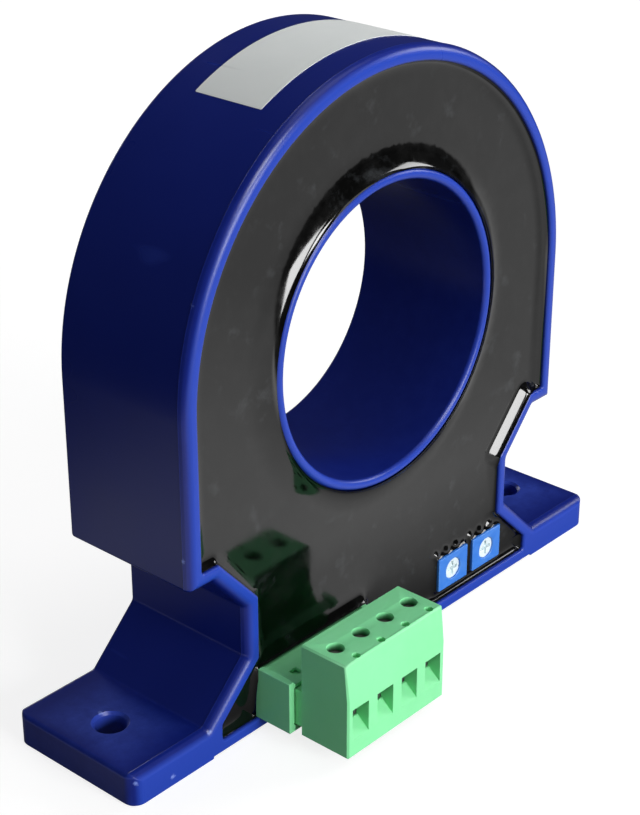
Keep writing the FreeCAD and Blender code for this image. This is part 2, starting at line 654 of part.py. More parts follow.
# Plug: a moulded block with a tongue that enters the header
plug_solid = new_body("plug_solid")
plug_sketch = new_sketch(plug_solid, "plug_profile", "YZ_Plane", "plug_x")
draw_outline(plug_sketch, [
    ("plug_y", "plug_bottom"),
    ("shoulder_y", "plug_bottom"),
    ("shoulder_y", "plug_top"),
    ("plug_y + plug_lean", "plug_top"),
    ("plug_y", "plug_bottom + plug_knee"),
])
extrude(plug_solid, "Pad", "plug_block", plug_sketch, "4 * pole_pitch")
round_edges(plug_solid, "plug_bevel", "plug_edge", lambda edge: not lies_at(edge, "Y", "shoulder_y")
            and not lies_at(edge, "Z", "plug_bottom + plug_knee"), "Chamfer")
tongue_sketch = new_sketch(plug_solid, "tongue_profile", "YZ_Plane", "header_x + header_wall + tongue_clear")
tongue_low = "(floor_z + header_wall + tongue_clear)"
tongue_high = "(header_top - header_wall - tongue_clear)"
draw_outline(tongue_sketch, [("shoulder_y - 1", tongue_low), ("tongue_tip", tongue_low),
                             ("tongue_tip", tongue_high), ("shoulder_y - 1", tongue_high)])
extrude(plug_solid, "Pad", "tongue", tongue_sketch, "header_length - 2 * header_wall - 2 * tongue_clear")

# One terminal: the room it needs in the plug, its fork contact, rising cage and screw
leaf_half = "(leaf_height / 2)"
bar_top = "(bar_z + bar_thick)"
screw_tip = f"({bar_top} + thread_clear)"
web_end = "(web_y + bar_thick)"
cage_front = "(screw_y - cage_length / 2 - cage_clear)"
socket_low = f"(pin_z - {leaf_half} - bar_clear)"


def terminal_room(number):
    """Everything that is hollow in the plug at one pole."""
    x = pole(number)
    name = f"room_{number + 1}"
    half_pocket = "(cage_width / 2 + cage_clear)"
    half_slot = "(bar_width / 2 + bar_clear)"
    funnel = doc.addObject("Part::Wedge", name + "_funnel")
    for prop, text in (("Xmin", "0"), ("Xmax", "entry_width"), ("X2min", "0"), ("X2max", "entry_width"),
                       ("Ymin", "0"), ("Ymax", "funnel_depth"), ("Zmin", "-funnel_drop"), ("Zmax", "0"),
                       ("Z2min", "-0.01"), ("Z2max", "0"), ("Placement.Base.x", f"{x} - entry_width / 2"),
                       ("Placement.Base.y", "plug_y"), ("Placement.Base.z", "entry_z")):
        bind(funnel, prop, text)
    return fuse(name, [
        funnel,
        cylinder(name + "_chamber", "z", x, "screw_y", "head_bottom", "head_radius + head_clear",
                 "head_height + head_lift"),
        cylinder(name + "_driver", "z", x, "screw_y", "head_top", "driver_radius", "2 * head_sunk"),
        cylinder(name + "_neck", "z", x, "screw_y", "pocket_top - 1",
                 "screw_radius + head_clear", "head_seat + 2"),
        box(name + "_pocket", f"{x} - {half_pocket}", cage_front, "cage_low - cage_clear",
            f"2 * {half_pocket}", "cage_length + 2 * cage_clear", "pocket_top - cage_low + cage_clear"),
        box(name + "_entry", f"{x} - entry_width / 2", "plug_y - 1", "entry_z",
            "entry_width", "screw_setback + 1", "entry_height"),
        box(name + "_slot", f"{x} - {half_slot}", f"{cage_front} - bar_thick", "bar_z",
            f"2 * {half_slot}", f"{web_end} + bar_clear - {cage_front} + bar_thick", "bar_thick + bar_clear"),
        box(name + "_drop", f"{x} - {half_slot}", "web_y - bar_clear", socket_low,
            f"2 * {half_slot}", "bar_thick + 2 * bar_clear", f"{bar_top} + bar_clear - {socket_low}"),
        box(name + "_socket", f"{x} - {half_slot}", "web_y", socket_low, f"2 * {half_slot}",
            "tongue_tip + 1 - web_y", f"leaf_height + 2 * bar_clear"),
        cylinder(name + "_probe", "z", f"{x} + probe_side", "plug_y + probe_setback",
                 "plug_top - probe_depth", "probe_radius", "probe_depth + 1"),
    ])


def fork_contact(number):
    """Current bar through the cage, web down to pin level and two leaves round the pin."""
    x = pole(number)
    name = f"fork_{number + 1}"
    parts = [
        box(name + "_bar", f"{x} - bar_width / 2", f"{cage_front} - bar_bite", "bar_z",
            "bar_width", f"{web_end} - {cage_front} + bar_bite", "bar_thick"),
        box(name + "_web", f"{x} - bar_width / 2", "web_y", f"pin_z - {leaf_half}",
            "bar_width", "bar_thick", f"{bar_top} - pin_z + {leaf_half}"),
    ]
    for side, inner in (("left", "-(pin_size / 2 + leaf_clear + leaf_thick)"),
                        ("right", "(pin_size / 2 + leaf_clear)")):
        parts.append(box(f"{name}_{side}", f"{x} + {inner}", web_end, f"pin_z - {leaf_half}",
                         "leaf_thick", f"tongue_tip - 2 * bar_clear - {web_end}", "leaf_height"))
    return fuse(name, parts)


def clamp_cage(number):
    """A box frame open along the wire, threaded through its top."""
    x = pole(number)
    name = f"cage_{number + 1}"
    return cut(name, box(name + "_block", f"{x} - cage_width / 2", "screw_y - cage_length / 2", "cage_low",
                         "cage_width", "cage_length", "cage_high - cage_low"), [
        box(name + "_window", f"{x} - cage_width / 2 + cage_wall", "screw_y - cage_length / 2 - 1",
            "cage_low + cage_wall", "cage_width - 2 * cage_wall", "cage_length + 2",
            "cage_high - cage_top - cage_low - cage_wall"),
        cylinder(name + "_thread", "z", x, "screw_y", "cage_high - cage_top - 1",
                 "screw_radius + thread_clear", "cage_top + 2"),
    ])


def clamp_screw(number):
    """A captive screw whose tip bears on the current bar."""
    x = pole(number)
    name = f"screw_{number + 1}"
    return cut(name, fuse(name + "_solid", [
        cylinder(name + "_head", "z", x, "screw_y", "head_bottom", "head_radius", "head_height"),
        cylinder(name + "_shank", "z", x, "screw_y", screw_tip,
                 "screw_radius", f"head_bottom - {screw_tip}"),
    ]), [box(name + "_slot", f"{x} - slot_width / 2", "screw_y - 2 * head_radius", "head_top - slot_depth",
             "slot_width", "4 * head_radius", "2 * slot_depth")])


plug = cut("plug", plug_solid, [terminal_room(number) for number in range(4)])

# Nodes by the name of their file
NODES = {
    "housing_tray": housing,
    "potting_fill": potting,
    "rating_label": label,
    "magnetic_core": core,
    "hall_element": hall,
    "circuit_board": board,
    "amplifier_chip": amplifier,
    "reference_chip": reference,
    "chip_resistors": resistors,
    "chip_capacitors": ceramics,
    "positive_supply_capacitor": positive_can,
    "negative_supply_capacitor": negative_can,
    "header_shell": header,
    "header_pins": pin_set,
    "plug_body": plug,
}
for role, pieces in (("zero", zero), ("gain", gain)):
    for part_name, piece in zip(("case", "rotor", "element", "wiper", "leads"), pieces[1:]):
        NODES[f"{role}_trimmer_{part_name}"] = piece
for number in range(4):
    NODES[f"plug_contact_{number + 1}"] = fork_contact(number)
    NODES[f"clamp_cage_{number + 1}"] = clamp_cage(number)
    NODES[f"clamp_screw_{number + 1}"] = clamp_screw(number)
for node, piece in NODES.items():
    piece.Label = node
doc.recompute()

# Every object and every node's shape is checked before anything is written
failed = [thing.Name for thing in doc.Objects if "Invalid" in thing.State or "Error" in thing.State]
broken = [node for node, piece in NODES.items() if piece.Shape.isNull() or not piece.Shape.isValid()]
empty = [node for node, piece in NODES.items() if not piece.Shape.Solids]
if failed or broken or empty:
    raise RuntimeError(f"failed objects {failed}, invalid shapes {broken}, no solid in {empty}")

os.makedirs("parts", exist_ok=True)
for node, piece in NODES.items():
    piece.Shape.exportStep(f"parts/{node}.step")
    print(f"{node}: {len(piece.Shape.Solids)} solids, {piece.Shape.Volume:.1f} mm3")
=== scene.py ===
"""Looks of an open-loop current transducer: a blue moulded ring on two feet, potted from the front in
black resin, with a pluggable green terminal block and two blue trimmers let into the resin."""
import math

import bmesh
import bpy
import numpy as np
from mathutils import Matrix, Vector
from mathutils.geometry import delaunay_2d_cdt


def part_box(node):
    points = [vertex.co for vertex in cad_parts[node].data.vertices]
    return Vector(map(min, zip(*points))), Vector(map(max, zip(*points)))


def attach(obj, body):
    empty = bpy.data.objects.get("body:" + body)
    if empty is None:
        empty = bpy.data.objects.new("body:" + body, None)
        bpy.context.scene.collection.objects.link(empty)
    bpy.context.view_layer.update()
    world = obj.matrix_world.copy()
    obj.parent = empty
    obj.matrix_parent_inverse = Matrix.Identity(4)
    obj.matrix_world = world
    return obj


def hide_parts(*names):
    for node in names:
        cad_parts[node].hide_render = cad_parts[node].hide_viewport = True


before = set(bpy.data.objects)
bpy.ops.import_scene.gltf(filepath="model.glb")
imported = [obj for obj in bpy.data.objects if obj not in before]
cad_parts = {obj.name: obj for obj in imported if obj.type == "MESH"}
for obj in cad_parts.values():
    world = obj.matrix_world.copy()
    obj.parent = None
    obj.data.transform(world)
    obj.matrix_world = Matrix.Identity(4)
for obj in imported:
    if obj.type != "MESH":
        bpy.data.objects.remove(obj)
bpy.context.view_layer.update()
MM = 0.001

# Housing tray
# One open-fronted moulding in satin blue plastic: an arch on a waisted neck and two bolted feet, with the
# tube that lines the window rising from its closed back. Its front edges are rounded for the hand.
housing_low, housing_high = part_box("housing_tray")
front_y, back_y = housing_low.y, housing_high.y
arch_radius = 39.2 * MM
window_z = housing_high.z - arch_radius
window_radius = 21.2 * MM
tube_radius = window_radius + 1.5 * MM
side_wall, back_wall, floor_wall = 2.2 * MM, 2.0 * MM, 1.5 * MM
body_bottom = 27.0 * MM
ledge_half = arch_radius - 4.4 * MM
neck_half = ledge_half - 5.9 * MM
neck_top = body_bottom - 6.6 * MM
neck_bottom = 12.5 * MM
flare_half = neck_half + 7.9 * MM
foot_top = 4.8 * MM
foot_end = housing_high.x
relief = 0.35 * MM
relief_half = flare_half - 0.8 * MM
toe_half = flare_half - 2.8 * MM
screw_x, screw_radius = 44.0 * MM, 2.25 * MM
rim_round, back_round, foot_round, lip_round = 1.4 * MM, 0.6 * MM, 2.0 * MM, 0.45 * MM
tightest = 0.08 * MM
weld_distance = 1e-7
arch_steps = 64


def both_sides(right_half):
    """A closed outline, anticlockwise seen from the front, from its right half listed upwards. A row is
    x, z, the corner's radius and how many points turn it."""
    right = np.array(right_half, float)
    return np.vstack([right, right[::-1] * (-1, 1, 1, 1)])


def moved_corners(corners, insets):
    """Corners of an outline whose side k, from corner k to the next, moves inward by insets[k]: every moved
    side is the line n.p = c with n its inward normal, and neighbouring lines are crossed."""
    along = np.roll(corners, -1, axis=0) - corners
    normal = np.stack([-along[:, 1], along[:, 0]], 1) / np.hypot(*along.T)[:, None]
    reach = (normal * corners).sum(1) + insets
    before, level = np.roll(normal, 1, axis=0), np.roll(reach, 1)
    cross = before[:, 0] * normal[:, 1] - before[:, 1] * normal[:, 0]
    return np.stack([level * normal[:, 1] - reach * before[:, 1],
                     reach * before[:, 0] - level * normal[:, 0]], 1) / cross[:, None]


def rounded_loop(outline, insets):
    """Points of an outline with its sides moved inward and its corners rounded. An arc of radius r touches
    both sides r tan(turn / 2) from the corner, and moving the sides in by d leaves r - d at an outer corner
    and r + d at an inner one."""
    insets = np.broadcast_to(insets, len(outline))
    sharp = moved_corners(outline[:, :2], insets)
    leave = np.roll(sharp, -1, axis=0) - sharp
    leave /= np.hypot(*leave.T)[:, None]
    arrive = np.roll(leave, 1, axis=0)
    turn = np.arctan2(arrive[:, 0] * leave[:, 1] - arrive[:, 1] * leave[:, 0], (arrive * leave).sum(1))
    radius = np.maximum(outline[:, 2] - np.sign(turn) * (insets + np.roll(insets, 1)) / 2, tightest)
    start = sharp - arrive * (radius * np.tan(np.abs(turn) / 2))[:, None]
    centre = np.sign(turn)[:, None] * np.stack([-arrive[:, 1], arrive[:, 0]], 1)
    arcs = []
    for k, count in enumerate(outline[:, 3].astype(int)):
        angle = np.linspace(0, abs(turn[k]), count)[:, None]
        arcs.append(start[k] + radius[k] * (np.sin(angle) * arrive[k] + (1 - np.cos(angle)) * centre[k]))
    return np.concatenate(arcs)


def edge_inset(radius, depth):
    """How far a rounded edge stands inside its face at a depth behind its front: r - sqrt(r^2 - (r - d)^2),
    and nothing once the depth is past the radius."""
    return radius - np.sqrt(radius**2 - np.clip(radius - depth, 0, radius) ** 2)


def edge_depths(*radii):
    """Depths that divide every one of these rounded edges into eight equal angles: r (1 - cos a)."""
    angle = np.linspace(0, math.pi / 2, 8 + 1)
    return np.unique(np.round(np.concatenate([radius * (1 - np.cos(angle)) for radius in radii]), 7))


def at_depth(loop, y):
    """A flat loop of x and z stood at y, which may differ from point to point."""
    return np.stack([loop[:, 0], np.broadcast_to(y, len(loop)), loop[:, 1]], 1)


def skin(rows):
    """Points and quads of a surface through closed loops of equal length: point (row, k) joins point
    (row, k + 1) and the same two of the next row."""
    rows = np.array(rows)
    row, k = np.meshgrid(np.arange(rows.shape[0] - 1), np.arange(rows.shape[1]), indexing="ij")
    ahead = (k + 1) % rows.shape[1]
    quads = np.stack([row * rows.shape[1] + k, row * rows.shape[1] + ahead,
                      (row + 1) * rows.shape[1] + ahead, (row + 1) * rows.shape[1] + k], -1)
    return rows.reshape(-1, 3), quads.reshape(-1, 4)


def inside(points, loop):
    """Which flat points lie inside a loop, by the even or odd count of sides crossed on the way right."""
    x, z = points[:, :1], points[:, 1:]
    here, ahead = loop, np.roll(loop, -1, axis=0)
    spans = (here[:, 1] > z) != (ahead[:, 1] > z)
    rise = np.where(ahead[:, 1] == here[:, 1], 1, ahead[:, 1] - here[:, 1])
    crossing = here[:, 0] + (z - here[:, 1]) / rise * (ahead[:, 0] - here[:, 0])
    return (spans & (x < crossing)).sum(1) % 2 == 1


def plate(y, border, *holes, between=()):
    """Points and triangles of the flat region inside a border and outside its holes: a Delaunay division
    that keeps every side of the loops, and passes through the points between them."""
    loops = [border, *holes]
    starts = np.cumsum([0] + [len(loop) for loop in loops])
    sides = [(int(first + k), int(first + (k + 1) % len(loop)))
             for first, loop in zip(starts, loops) for k in range(len(loop))]
    flat = np.concatenate([*loops, *between]) / MM
    points, _, triangles, *_ = delaunay_2d_cdt([Vector(point) for point in flat], sides, [], 0, 1e-6)
    points, triangles = np.array(points) * MM, np.array(triangles)
    middle = points[triangles].mean(1)
    kept = inside(middle, border)
    for hole in holes:
        kept &= ~inside(middle, hole)
    return at_depth(points, y), triangles[kept]


def solid(name, *parts):
    """One closed mesh from parts that share their borders, merged and turned outward, as an object."""
    starts = np.cumsum([0] + [len(points) for points, _ in parts])
    faces = [face for first, (_, part) in zip(starts, parts) for face in (part + int(first)).tolist()]
    mesh = bpy.data.meshes.new(name)
    mesh.from_pydata(np.concatenate([points for points, _ in parts]).tolist(), [], faces)
    work = bmesh.new()
    work.from_mesh(mesh)
    bmesh.ops.remove_doubles(work, verts=work.verts, dist=weld_distance)
    loose = [vertex for vertex in work.verts if not vertex.link_faces]
    bmesh.ops.delete(work, geom=loose, context="VERTS")
    bmesh.ops.recalc_face_normals(work, faces=work.faces)
    work.to_mesh(mesh)
    work.free()
    piece = bpy.data.objects.new(name, mesh)
    bpy.context.scene.collection.objects.link(piece)
    return piece


def apply_modifiers(piece):
    """Keeps a piece's evaluated mesh as its own and clears its modifiers."""
    evaluated = piece.evaluated_get(bpy.context.evaluated_depsgraph_get())
    mesh = bpy.data.meshes.new_from_object(evaluated)
    piece.modifiers.clear()
    piece.data = mesh


def smooth(piece, angle=32):
    """Smooth shading that breaks at sharp edges and lies flat on large faces. Every point also stores, as
    "edge", the widest turn between the faces that meet there, from 0 on a flat to 1 at 45 degrees."""
    full_turn = 45
    mesh = piece.data
    mesh.shade_smooth()
    mesh.set_sharp_from_angle(angle=math.radians(angle))
    side = np.zeros(len(mesh.loops), int)
    mesh.loops.foreach_get("edge_index", side)
    corners = np.zeros(len(mesh.polygons), int)
    mesh.polygons.foreach_get("loop_total", corners)
    normals = np.zeros(len(mesh.polygons) * 3)
    mesh.polygons.foreach_get("normal", normals)
    normals = normals.reshape(-1, 3)
    ends = np.zeros(len(mesh.edges) * 2, int)
    mesh.edges.foreach_get("vertices", ends)
    # the two faces of each edge own the first and the last of its corners in edge order
    owner = np.repeat(np.arange(len(corners)), corners)
    order = np.argsort(side, kind="stable")
    edges = np.arange(len(mesh.edges))
    first = np.searchsorted(side[order], edges)
    last = np.searchsorted(side[order], edges, side="right") - 1
    across = (normals[owner[order[first]]] * normals[owner[order[last]]]).sum(1)
    turn = np.degrees(np.arccos(np.clip(across, -1, 1))) / full_turn
    sharpness = np.zeros(len(mesh.vertices))
    np.maximum.at(sharpness, ends, np.repeat(np.clip(turn, 0, 1), 2))
    mesh.attributes.new("edge", "FLOAT", "POINT").data.foreach_set("value", sharpness.astype(np.float32))
    weighted = piece.modifiers.new("flat_faces", "WEIGHTED_NORMAL")
    weighted.keep_sharp = True


def fit(piece, finish, body, slot, *nodes):
    """Gives a finished piece its material and sets it on its body, in place of the solids it stands for."""
    piece.data.materials.clear()
    piece.data.materials.append(finish)
    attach(piece, body)
    if nodes:
        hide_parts(*nodes)


def circle(radius, x, z, count=160):
    """A closed flat circle, anticlockwise seen from the front."""
    angle = np.arange(count) * 2 * math.pi / count
    return np.stack([x + radius * np.cos(angle), z + radius * np.sin(angle)], 1)


def srgb(red, green, blue):
    """A colour given as it looks on a screen, 0 to 255, as the linear value that light is worked out in:
    s / 12.92 up to 0.04045, and ((s + 0.055) / 1.055)^2.4 above."""
    share = np.array([red, green, blue]) / 255
    return (*np.where(share <= 0.04045, share / 12.92, ((share + 0.055) / 1.055) ** 2.4), 1.0)


def add(tree, kind, settings=(), **sockets):
    """One shader node. A socket is named with _ for a space, or as i and its number, and takes a constant
    or another node's output."""
    made = tree.nodes.new("ShaderNode" + kind)
    for name, value in dict(settings).items():
        setattr(made, name, value)
    for name, value in sockets.items():
        socket = made.inputs[int(name[1:]) if name[1:].isdigit() else name.replace("_", " ")]
        if isinstance(value, bpy.types.NodeSocket):
            tree.links.new(value, socket)
        else:
            socket.default_value = value
    return made


def math_node(tree, operation, *values):
    """A Math node on one to three values, each a constant or another node's output."""
    return add(tree, "Math", {"operation": operation},
               **{f"i{number}": value for number, value in enumerate(values)}).outputs[0]


def blend_colours(tree, amount, first, second):
    """A colour between two, by an amount from 0 to 1. A Mix node's sockets 6 and 7 are its colours."""
    return add(tree, "Mix", {"data_type": "RGBA"}, i0=amount, i6=first, i7=second).outputs[2]


def new_group(name, inputs, outputs):
    """A shader node group with float inputs and their defaults, its output names, and its two end nodes."""
    group = bpy.data.node_groups.new(name, "ShaderNodeTree")
    for label, value in inputs.items():
        socket = group.interface.new_socket(label, in_out="INPUT", socket_type="NodeSocketFloat")
        socket.default_value = value
    for label in outputs:
        group.interface.new_socket(label, in_out="OUTPUT", socket_type="NodeSocketFloat")
    return group, group.nodes.new("NodeGroupInput").outputs, group.nodes.new("NodeGroupOutput").inputs


def place_group(tree, group, **values):
    """A group's node in a material, with its inputs set."""
    made = tree.nodes.new("ShaderNodeGroup")
    made.node_tree = group
    for name, value in values.items():
        made.inputs[name].default_value = value
    return made.outputs


# Moulded grain: a fine spark-eroded texture with slow patches where the melt cooled differently
grain, given, taken = new_group("moulded_grain", {"Grains": 3000.0, "Patches": 60.0},
                                ("Height", "Patch"))
place = add(grain, "TexCoord").outputs["Object"]
fine = add(grain, "TexNoise", Vector=place, Scale=given["Grains"], Detail=2.0, Roughness=0.6)
slow = add(grain, "TexNoise", Vector=place, Scale=given["Patches"], Detail=3.0, Roughness=0.5)
grain.links.new(fine.outputs["Fac"], taken["Height"])
grain.links.new(slow.outputs["Fac"], taken["Patch"])

# Handling marks and painted highlight: lighter edges, partly worn and partly painted light, and hairline
# scuffs in two directions
wear_and_highlight, given, taken = new_group("wear_and_edge_highlight", {"Rub": 0.5}, ("Edge", "Scuff"))
place = add(wear_and_highlight, "TexCoord").outputs["Object"]
turning = add(wear_and_highlight, "Attribute", {"attribute_name": "edge"}).outputs["Fac"]
broken = add(wear_and_highlight, "TexNoise", Vector=place, Scale=420.0, Detail=4.0, Roughness=0.7).outputs["Fac"]
rubbed_and_lit = add(wear_and_highlight, "MapRange", Value=math_node(wear_and_highlight, "MULTIPLY", turning, broken), From_Min=0.06,
             From_Max=0.5).outputs[0]
wear_and_highlight.links.new(math_node(wear_and_highlight, "MULTIPLY", rubbed_and_lit, given["Rub"]), taken["Edge"])
hairlines = []
for turn_about_y, across_lines in ((0.5, 360.0), (-1.1, 560.0)):
    lines = add(wear_and_highlight, "Mapping", Vector=place, Rotation=(0.2, turn_about_y, 0.4),
                Scale=(across_lines, 40.0, 26.0)).outputs[0]
    streaks = add(wear_and_highlight, "TexNoise", Vector=lines, Scale=1.0, Detail=2.0).outputs["Fac"]
    hairlines.append(add(wear_and_highlight, "MapRange", Value=streaks, From_Min=0.72, From_Max=0.8).outputs[0])
wear_and_highlight.links.new(math_node(wear_and_highlight, "MAXIMUM", *hairlines), taken["Scuff"])


def new_material(name):
    """An empty material, its node tree and its Principled shader."""
    finish = bpy.data.materials.new(name)
    finish.use_nodes = True
    tree = finish.node_tree
    return finish, tree, tree.nodes["Principled BSDF"]


def plastic(name, colour, rub_and_highlight_colour, roughness, grain_depth, rub_and_highlight=0.5, specular=0.5):
    """A moulded plastic: its colour with slow patches, lighter along edges that are partly worn and partly
    a painted highlight, and along hairline scuffs, over a fine grain that scuffs smooth."""
    patch_rough, scuff_rough, scuff_paleness = 0.12, 0.1, 0.25
    finish, tree, shader = new_material(name)
    surface = place_group(tree, grain)
    use = place_group(tree, wear_and_highlight, Rub=rub_and_highlight)
    dark, light = (tuple(np.array(colour[:3]) * share) + (1.0,) for share in (0.88, 1.1))
    patched = blend_colours(tree, surface["Patch"], dark, light)
    # edges lighter where the surface turns, partly worn and partly a painted highlight
    rubbed_and_lit = blend_colours(tree, use["Edge"], patched, rub_and_highlight_colour)
    scuffed = math_node(tree, "MULTIPLY", use["Scuff"], scuff_paleness)
    tree.links.new(blend_colours(tree, scuffed, rubbed_and_lit, rub_and_highlight_colour), shader.inputs["Base Color"])
    rough = math_node(tree, "MULTIPLY_ADD", surface["Patch"], patch_rough, roughness - patch_rough / 2)
    worn = math_node(tree, "MULTIPLY_ADD", use["Scuff"], -scuff_rough, rough)
    tree.links.new(worn, shader.inputs["Roughness"])
    shader.inputs["Specular IOR Level"].default_value = specular
    bump = add(tree, "Bump", Height=surface["Height"], Strength=0.35, Distance=grain_depth)
    tree.links.new(bump.outputs["Normal"], shader.inputs["Normal"])
    return finish


housing_blue = plastic("housing_blue", srgb(16, 34, 124), srgb(64, 90, 204), roughness=0.3,
                       grain_depth=0.02 * MM, rub_and_highlight=0.5, specular=0.25)
tree = housing_blue.node_tree
place = add(tree, "TexCoord").outputs["Object"]
# the front faces are painted lighter: a painted highlight for the light the front lamp throws on them
depth = add(tree, "SeparateXYZ", Vector=place).outputs["Y"]
painted_front_light_mask = add(tree, "MapRange", Value=depth, From_Min=front_y + 0.5 * MM,
            From_Max=front_y + 0.05 * MM).outputs[0]
moulded = tree.nodes["Principled BSDF"].inputs["Base Color"].links[0].from_socket
with_painted_front_light = blend_colours(tree, painted_front_light_mask, moulded, srgb(36, 66, 174))
# small pale knocks and a painted highlight on the left foot, the left rim and the arch, edges torn by a
# fine noise
torn_reach, spot_start, spot_end, spot_paleness = 0.4 * MM, 0.1 * MM, 0.45 * MM, 0.7
torn = add(tree, "TexNoise", Vector=place, Scale=2600.0, Detail=2.0).outputs["Color"]
moved = add(tree, "VectorMath", {"operation": "SUBTRACT"}, i0=place, i1=(torn_reach,) * 3).outputs[0]
torn_place = add(tree, "VectorMath", {"operation": "MULTIPLY_ADD"}, i0=torn, i1=(2 * torn_reach,) * 3,
                 i2=moved).outputs[0]
knocks_and_painted_highlight = 0.0
# the second place is a painted highlight at the left foot's front corner, the last a pale spot on its
# hole's edge
for x, y, z in ((-43.7, -11.5, 1.4), (-50.0, -11.2, 3.6), (-36.5, -11.4, 4.6), (-39.2, -10.2, 31.7),
                (-39.2, -10.2, 56.9), (-35.8, -10.1, 65.9), (-43.4, 2.7, 4.8)):
    away = add(tree, "VectorMath", {"operation": "DISTANCE"}, i0=torn_place, i1=(x * MM, y * MM, z * MM))
    spot = add(tree, "MapRange", Value=away.outputs["Value"], From_Min=spot_end, From_Max=spot_start)
    knocks_and_painted_highlight = math_node(tree, "MAXIMUM", knocks_and_painted_highlight, spot.outputs[0])
knocks_and_painted_highlight = math_node(tree, "MULTIPLY", knocks_and_painted_highlight, spot_paleness)
tree.links.new(blend_colours(tree, knocks_and_painted_highlight, with_painted_front_light, srgb(140, 162, 240)),
               tree.nodes["Principled BSDF"].inputs["Base Color"])

flare_slope = (neck_bottom - foot_top) / (flare_half - neck_half)
outline = both_sides([
    (relief_half, relief, 0.1 * MM, 3), (relief_half, 0, 0.1 * MM, 3),
    (foot_end, 0, 0.25 * MM, 4), (foot_end, foot_top, 0.7 * MM, 8),
    (flare_half, foot_top, 0.8 * MM, 8), (neck_half, neck_bottom, 0.9 * MM, 8),
    (neck_half, neck_top, 0.9 * MM, 8), (ledge_half, body_bottom, 0.5 * MM, 8),
    (arch_radius, body_bottom, 0.7 * MM, 10), (arch_radius, housing_high.z, arch_radius, arch_steps),
])
# the sides of the outline that are the feet's ends, and those underneath, which aren't rounded
following = np.roll(outline, -1, axis=0)
is_end = np.isclose(np.abs(outline[:, 0]), foot_end) & np.isclose(np.abs(following[:, 0]), foot_end)
is_end &= np.sign(outline[:, 0]) == np.sign(following[:, 0])
is_under = np.maximum(outline[:, 1], following[:, 1]) <= relief
# the mould's parting leaves a fine raised line where the rounded rim meets the sides
witness_height, witness_width = 0.04 * MM, 0.08 * MM
witness_depths = rim_round + np.arange(-3, 4) * witness_width / 2
depths = np.unique(np.concatenate([edge_depths(rim_round, foot_round), witness_depths]))
behind = edge_depths(back_round, foot_round)
ys = np.concatenate([front_y + depths, back_y - behind[::-1]])
outside = []
for y in ys:
    ahead_of, back_of = y - front_y, back_y - y
    rim = edge_inset(rim_round, ahead_of) + edge_inset(back_round, back_of)
    rim -= witness_height * math.exp(-((ahead_of - rim_round) / witness_width) ** 2)
    end = edge_inset(foot_round, ahead_of) + edge_inset(foot_round, back_of)
    outside.append(at_depth(rounded_loop(outline, np.where(is_under, 0, np.where(is_end, end, rim))), y))

toe_z = foot_top + (flare_half - toe_half - side_wall) * flare_slope
trough = both_sides([
    (toe_half + side_wall, relief + floor_wall - side_wall, 0, 4), (toe_half + side_wall, toe_z, 0, 4),
    (neck_half, neck_bottom, 0, 6), (neck_half, neck_top, 0, 6), (ledge_half, body_bottom, 0, 6),
    (arch_radius, body_bottom, 0, 8), (arch_radius, housing_high.z, 0, arch_steps),
])
trough[:, :2] = moved_corners(trough[:, :2], side_wall)
trough[:, 2] = np.where(trough[:, 3] == arch_steps, arch_radius - side_wall, 0.5 * MM)
lip_depths = edge_depths(lip_round)
cavity_floor = back_y - back_wall
cavity = [at_depth(rounded_loop(trough, -edge_inset(lip_round, depth)), front_y + depth)
          for depth in lip_depths]
cavity.append(at_depth(rounded_loop(trough, 0), cavity_floor))

crest = np.linspace(0, math.pi, 13)
crest_half = (tube_radius - window_radius) / 2
tube_profile = [(tube_radius, cavity_floor)]
tube_profile += [(window_radius + crest_half * (1 + math.cos(a)), front_y + crest_half * (1 - math.sin(a)))
                 for a in crest]
tube_profile += [(window_radius + edge_inset(lip_round, depth), back_y - depth)
                 for depth in lip_depths[::-1]]
tube = [at_depth(circle(radius, 0, window_z), y) for radius, y in tube_profile]
flat = (0, 2)
housing = solid("housing", skin(outside), skin(cavity), skin(tube),
                plate(front_y, outside[0][:, flat], cavity[0][:, flat]),
                plate(cavity_floor, cavity[-1][:, flat], tube[0][:, flat]),
                plate(back_y, outside[-1][:, flat], tube[-1][:, flat]))

# a straight screw hole through each foot, with its upper edge broken
lead_in, drill_start = 0.4 * MM, -5 * MM
for side in (-1, 1):
    drill_profile = [(screw_radius, drill_start), (screw_radius, foot_top - lead_in),
                     (screw_radius + lead_in, foot_top + 0.01 * MM), (screw_radius + lead_in, 2 * foot_top)]
    rows = [circle(radius, side * screw_x, 0, 48) for radius, _ in drill_profile]
    rows = [np.stack([row[:, 0], row[:, 1], np.full(len(row), z)], 1)
            for row, (_, z) in zip(rows, drill_profile)]
    ends = [(row, np.arange(len(row))[None]) for row in (rows[0], rows[-1])]
    drill = solid("drill", skin(rows), *ends)
    hole = housing.modifiers.new("hole", "BOOLEAN")
    hole.object, hole.solver = drill, "EXACT"
    apply_modifiers(housing)
    bpy.data.objects.remove(drill)
smooth(housing)
fit(housing, housing_blue, "base", "blue_plastic", "housing_tray")

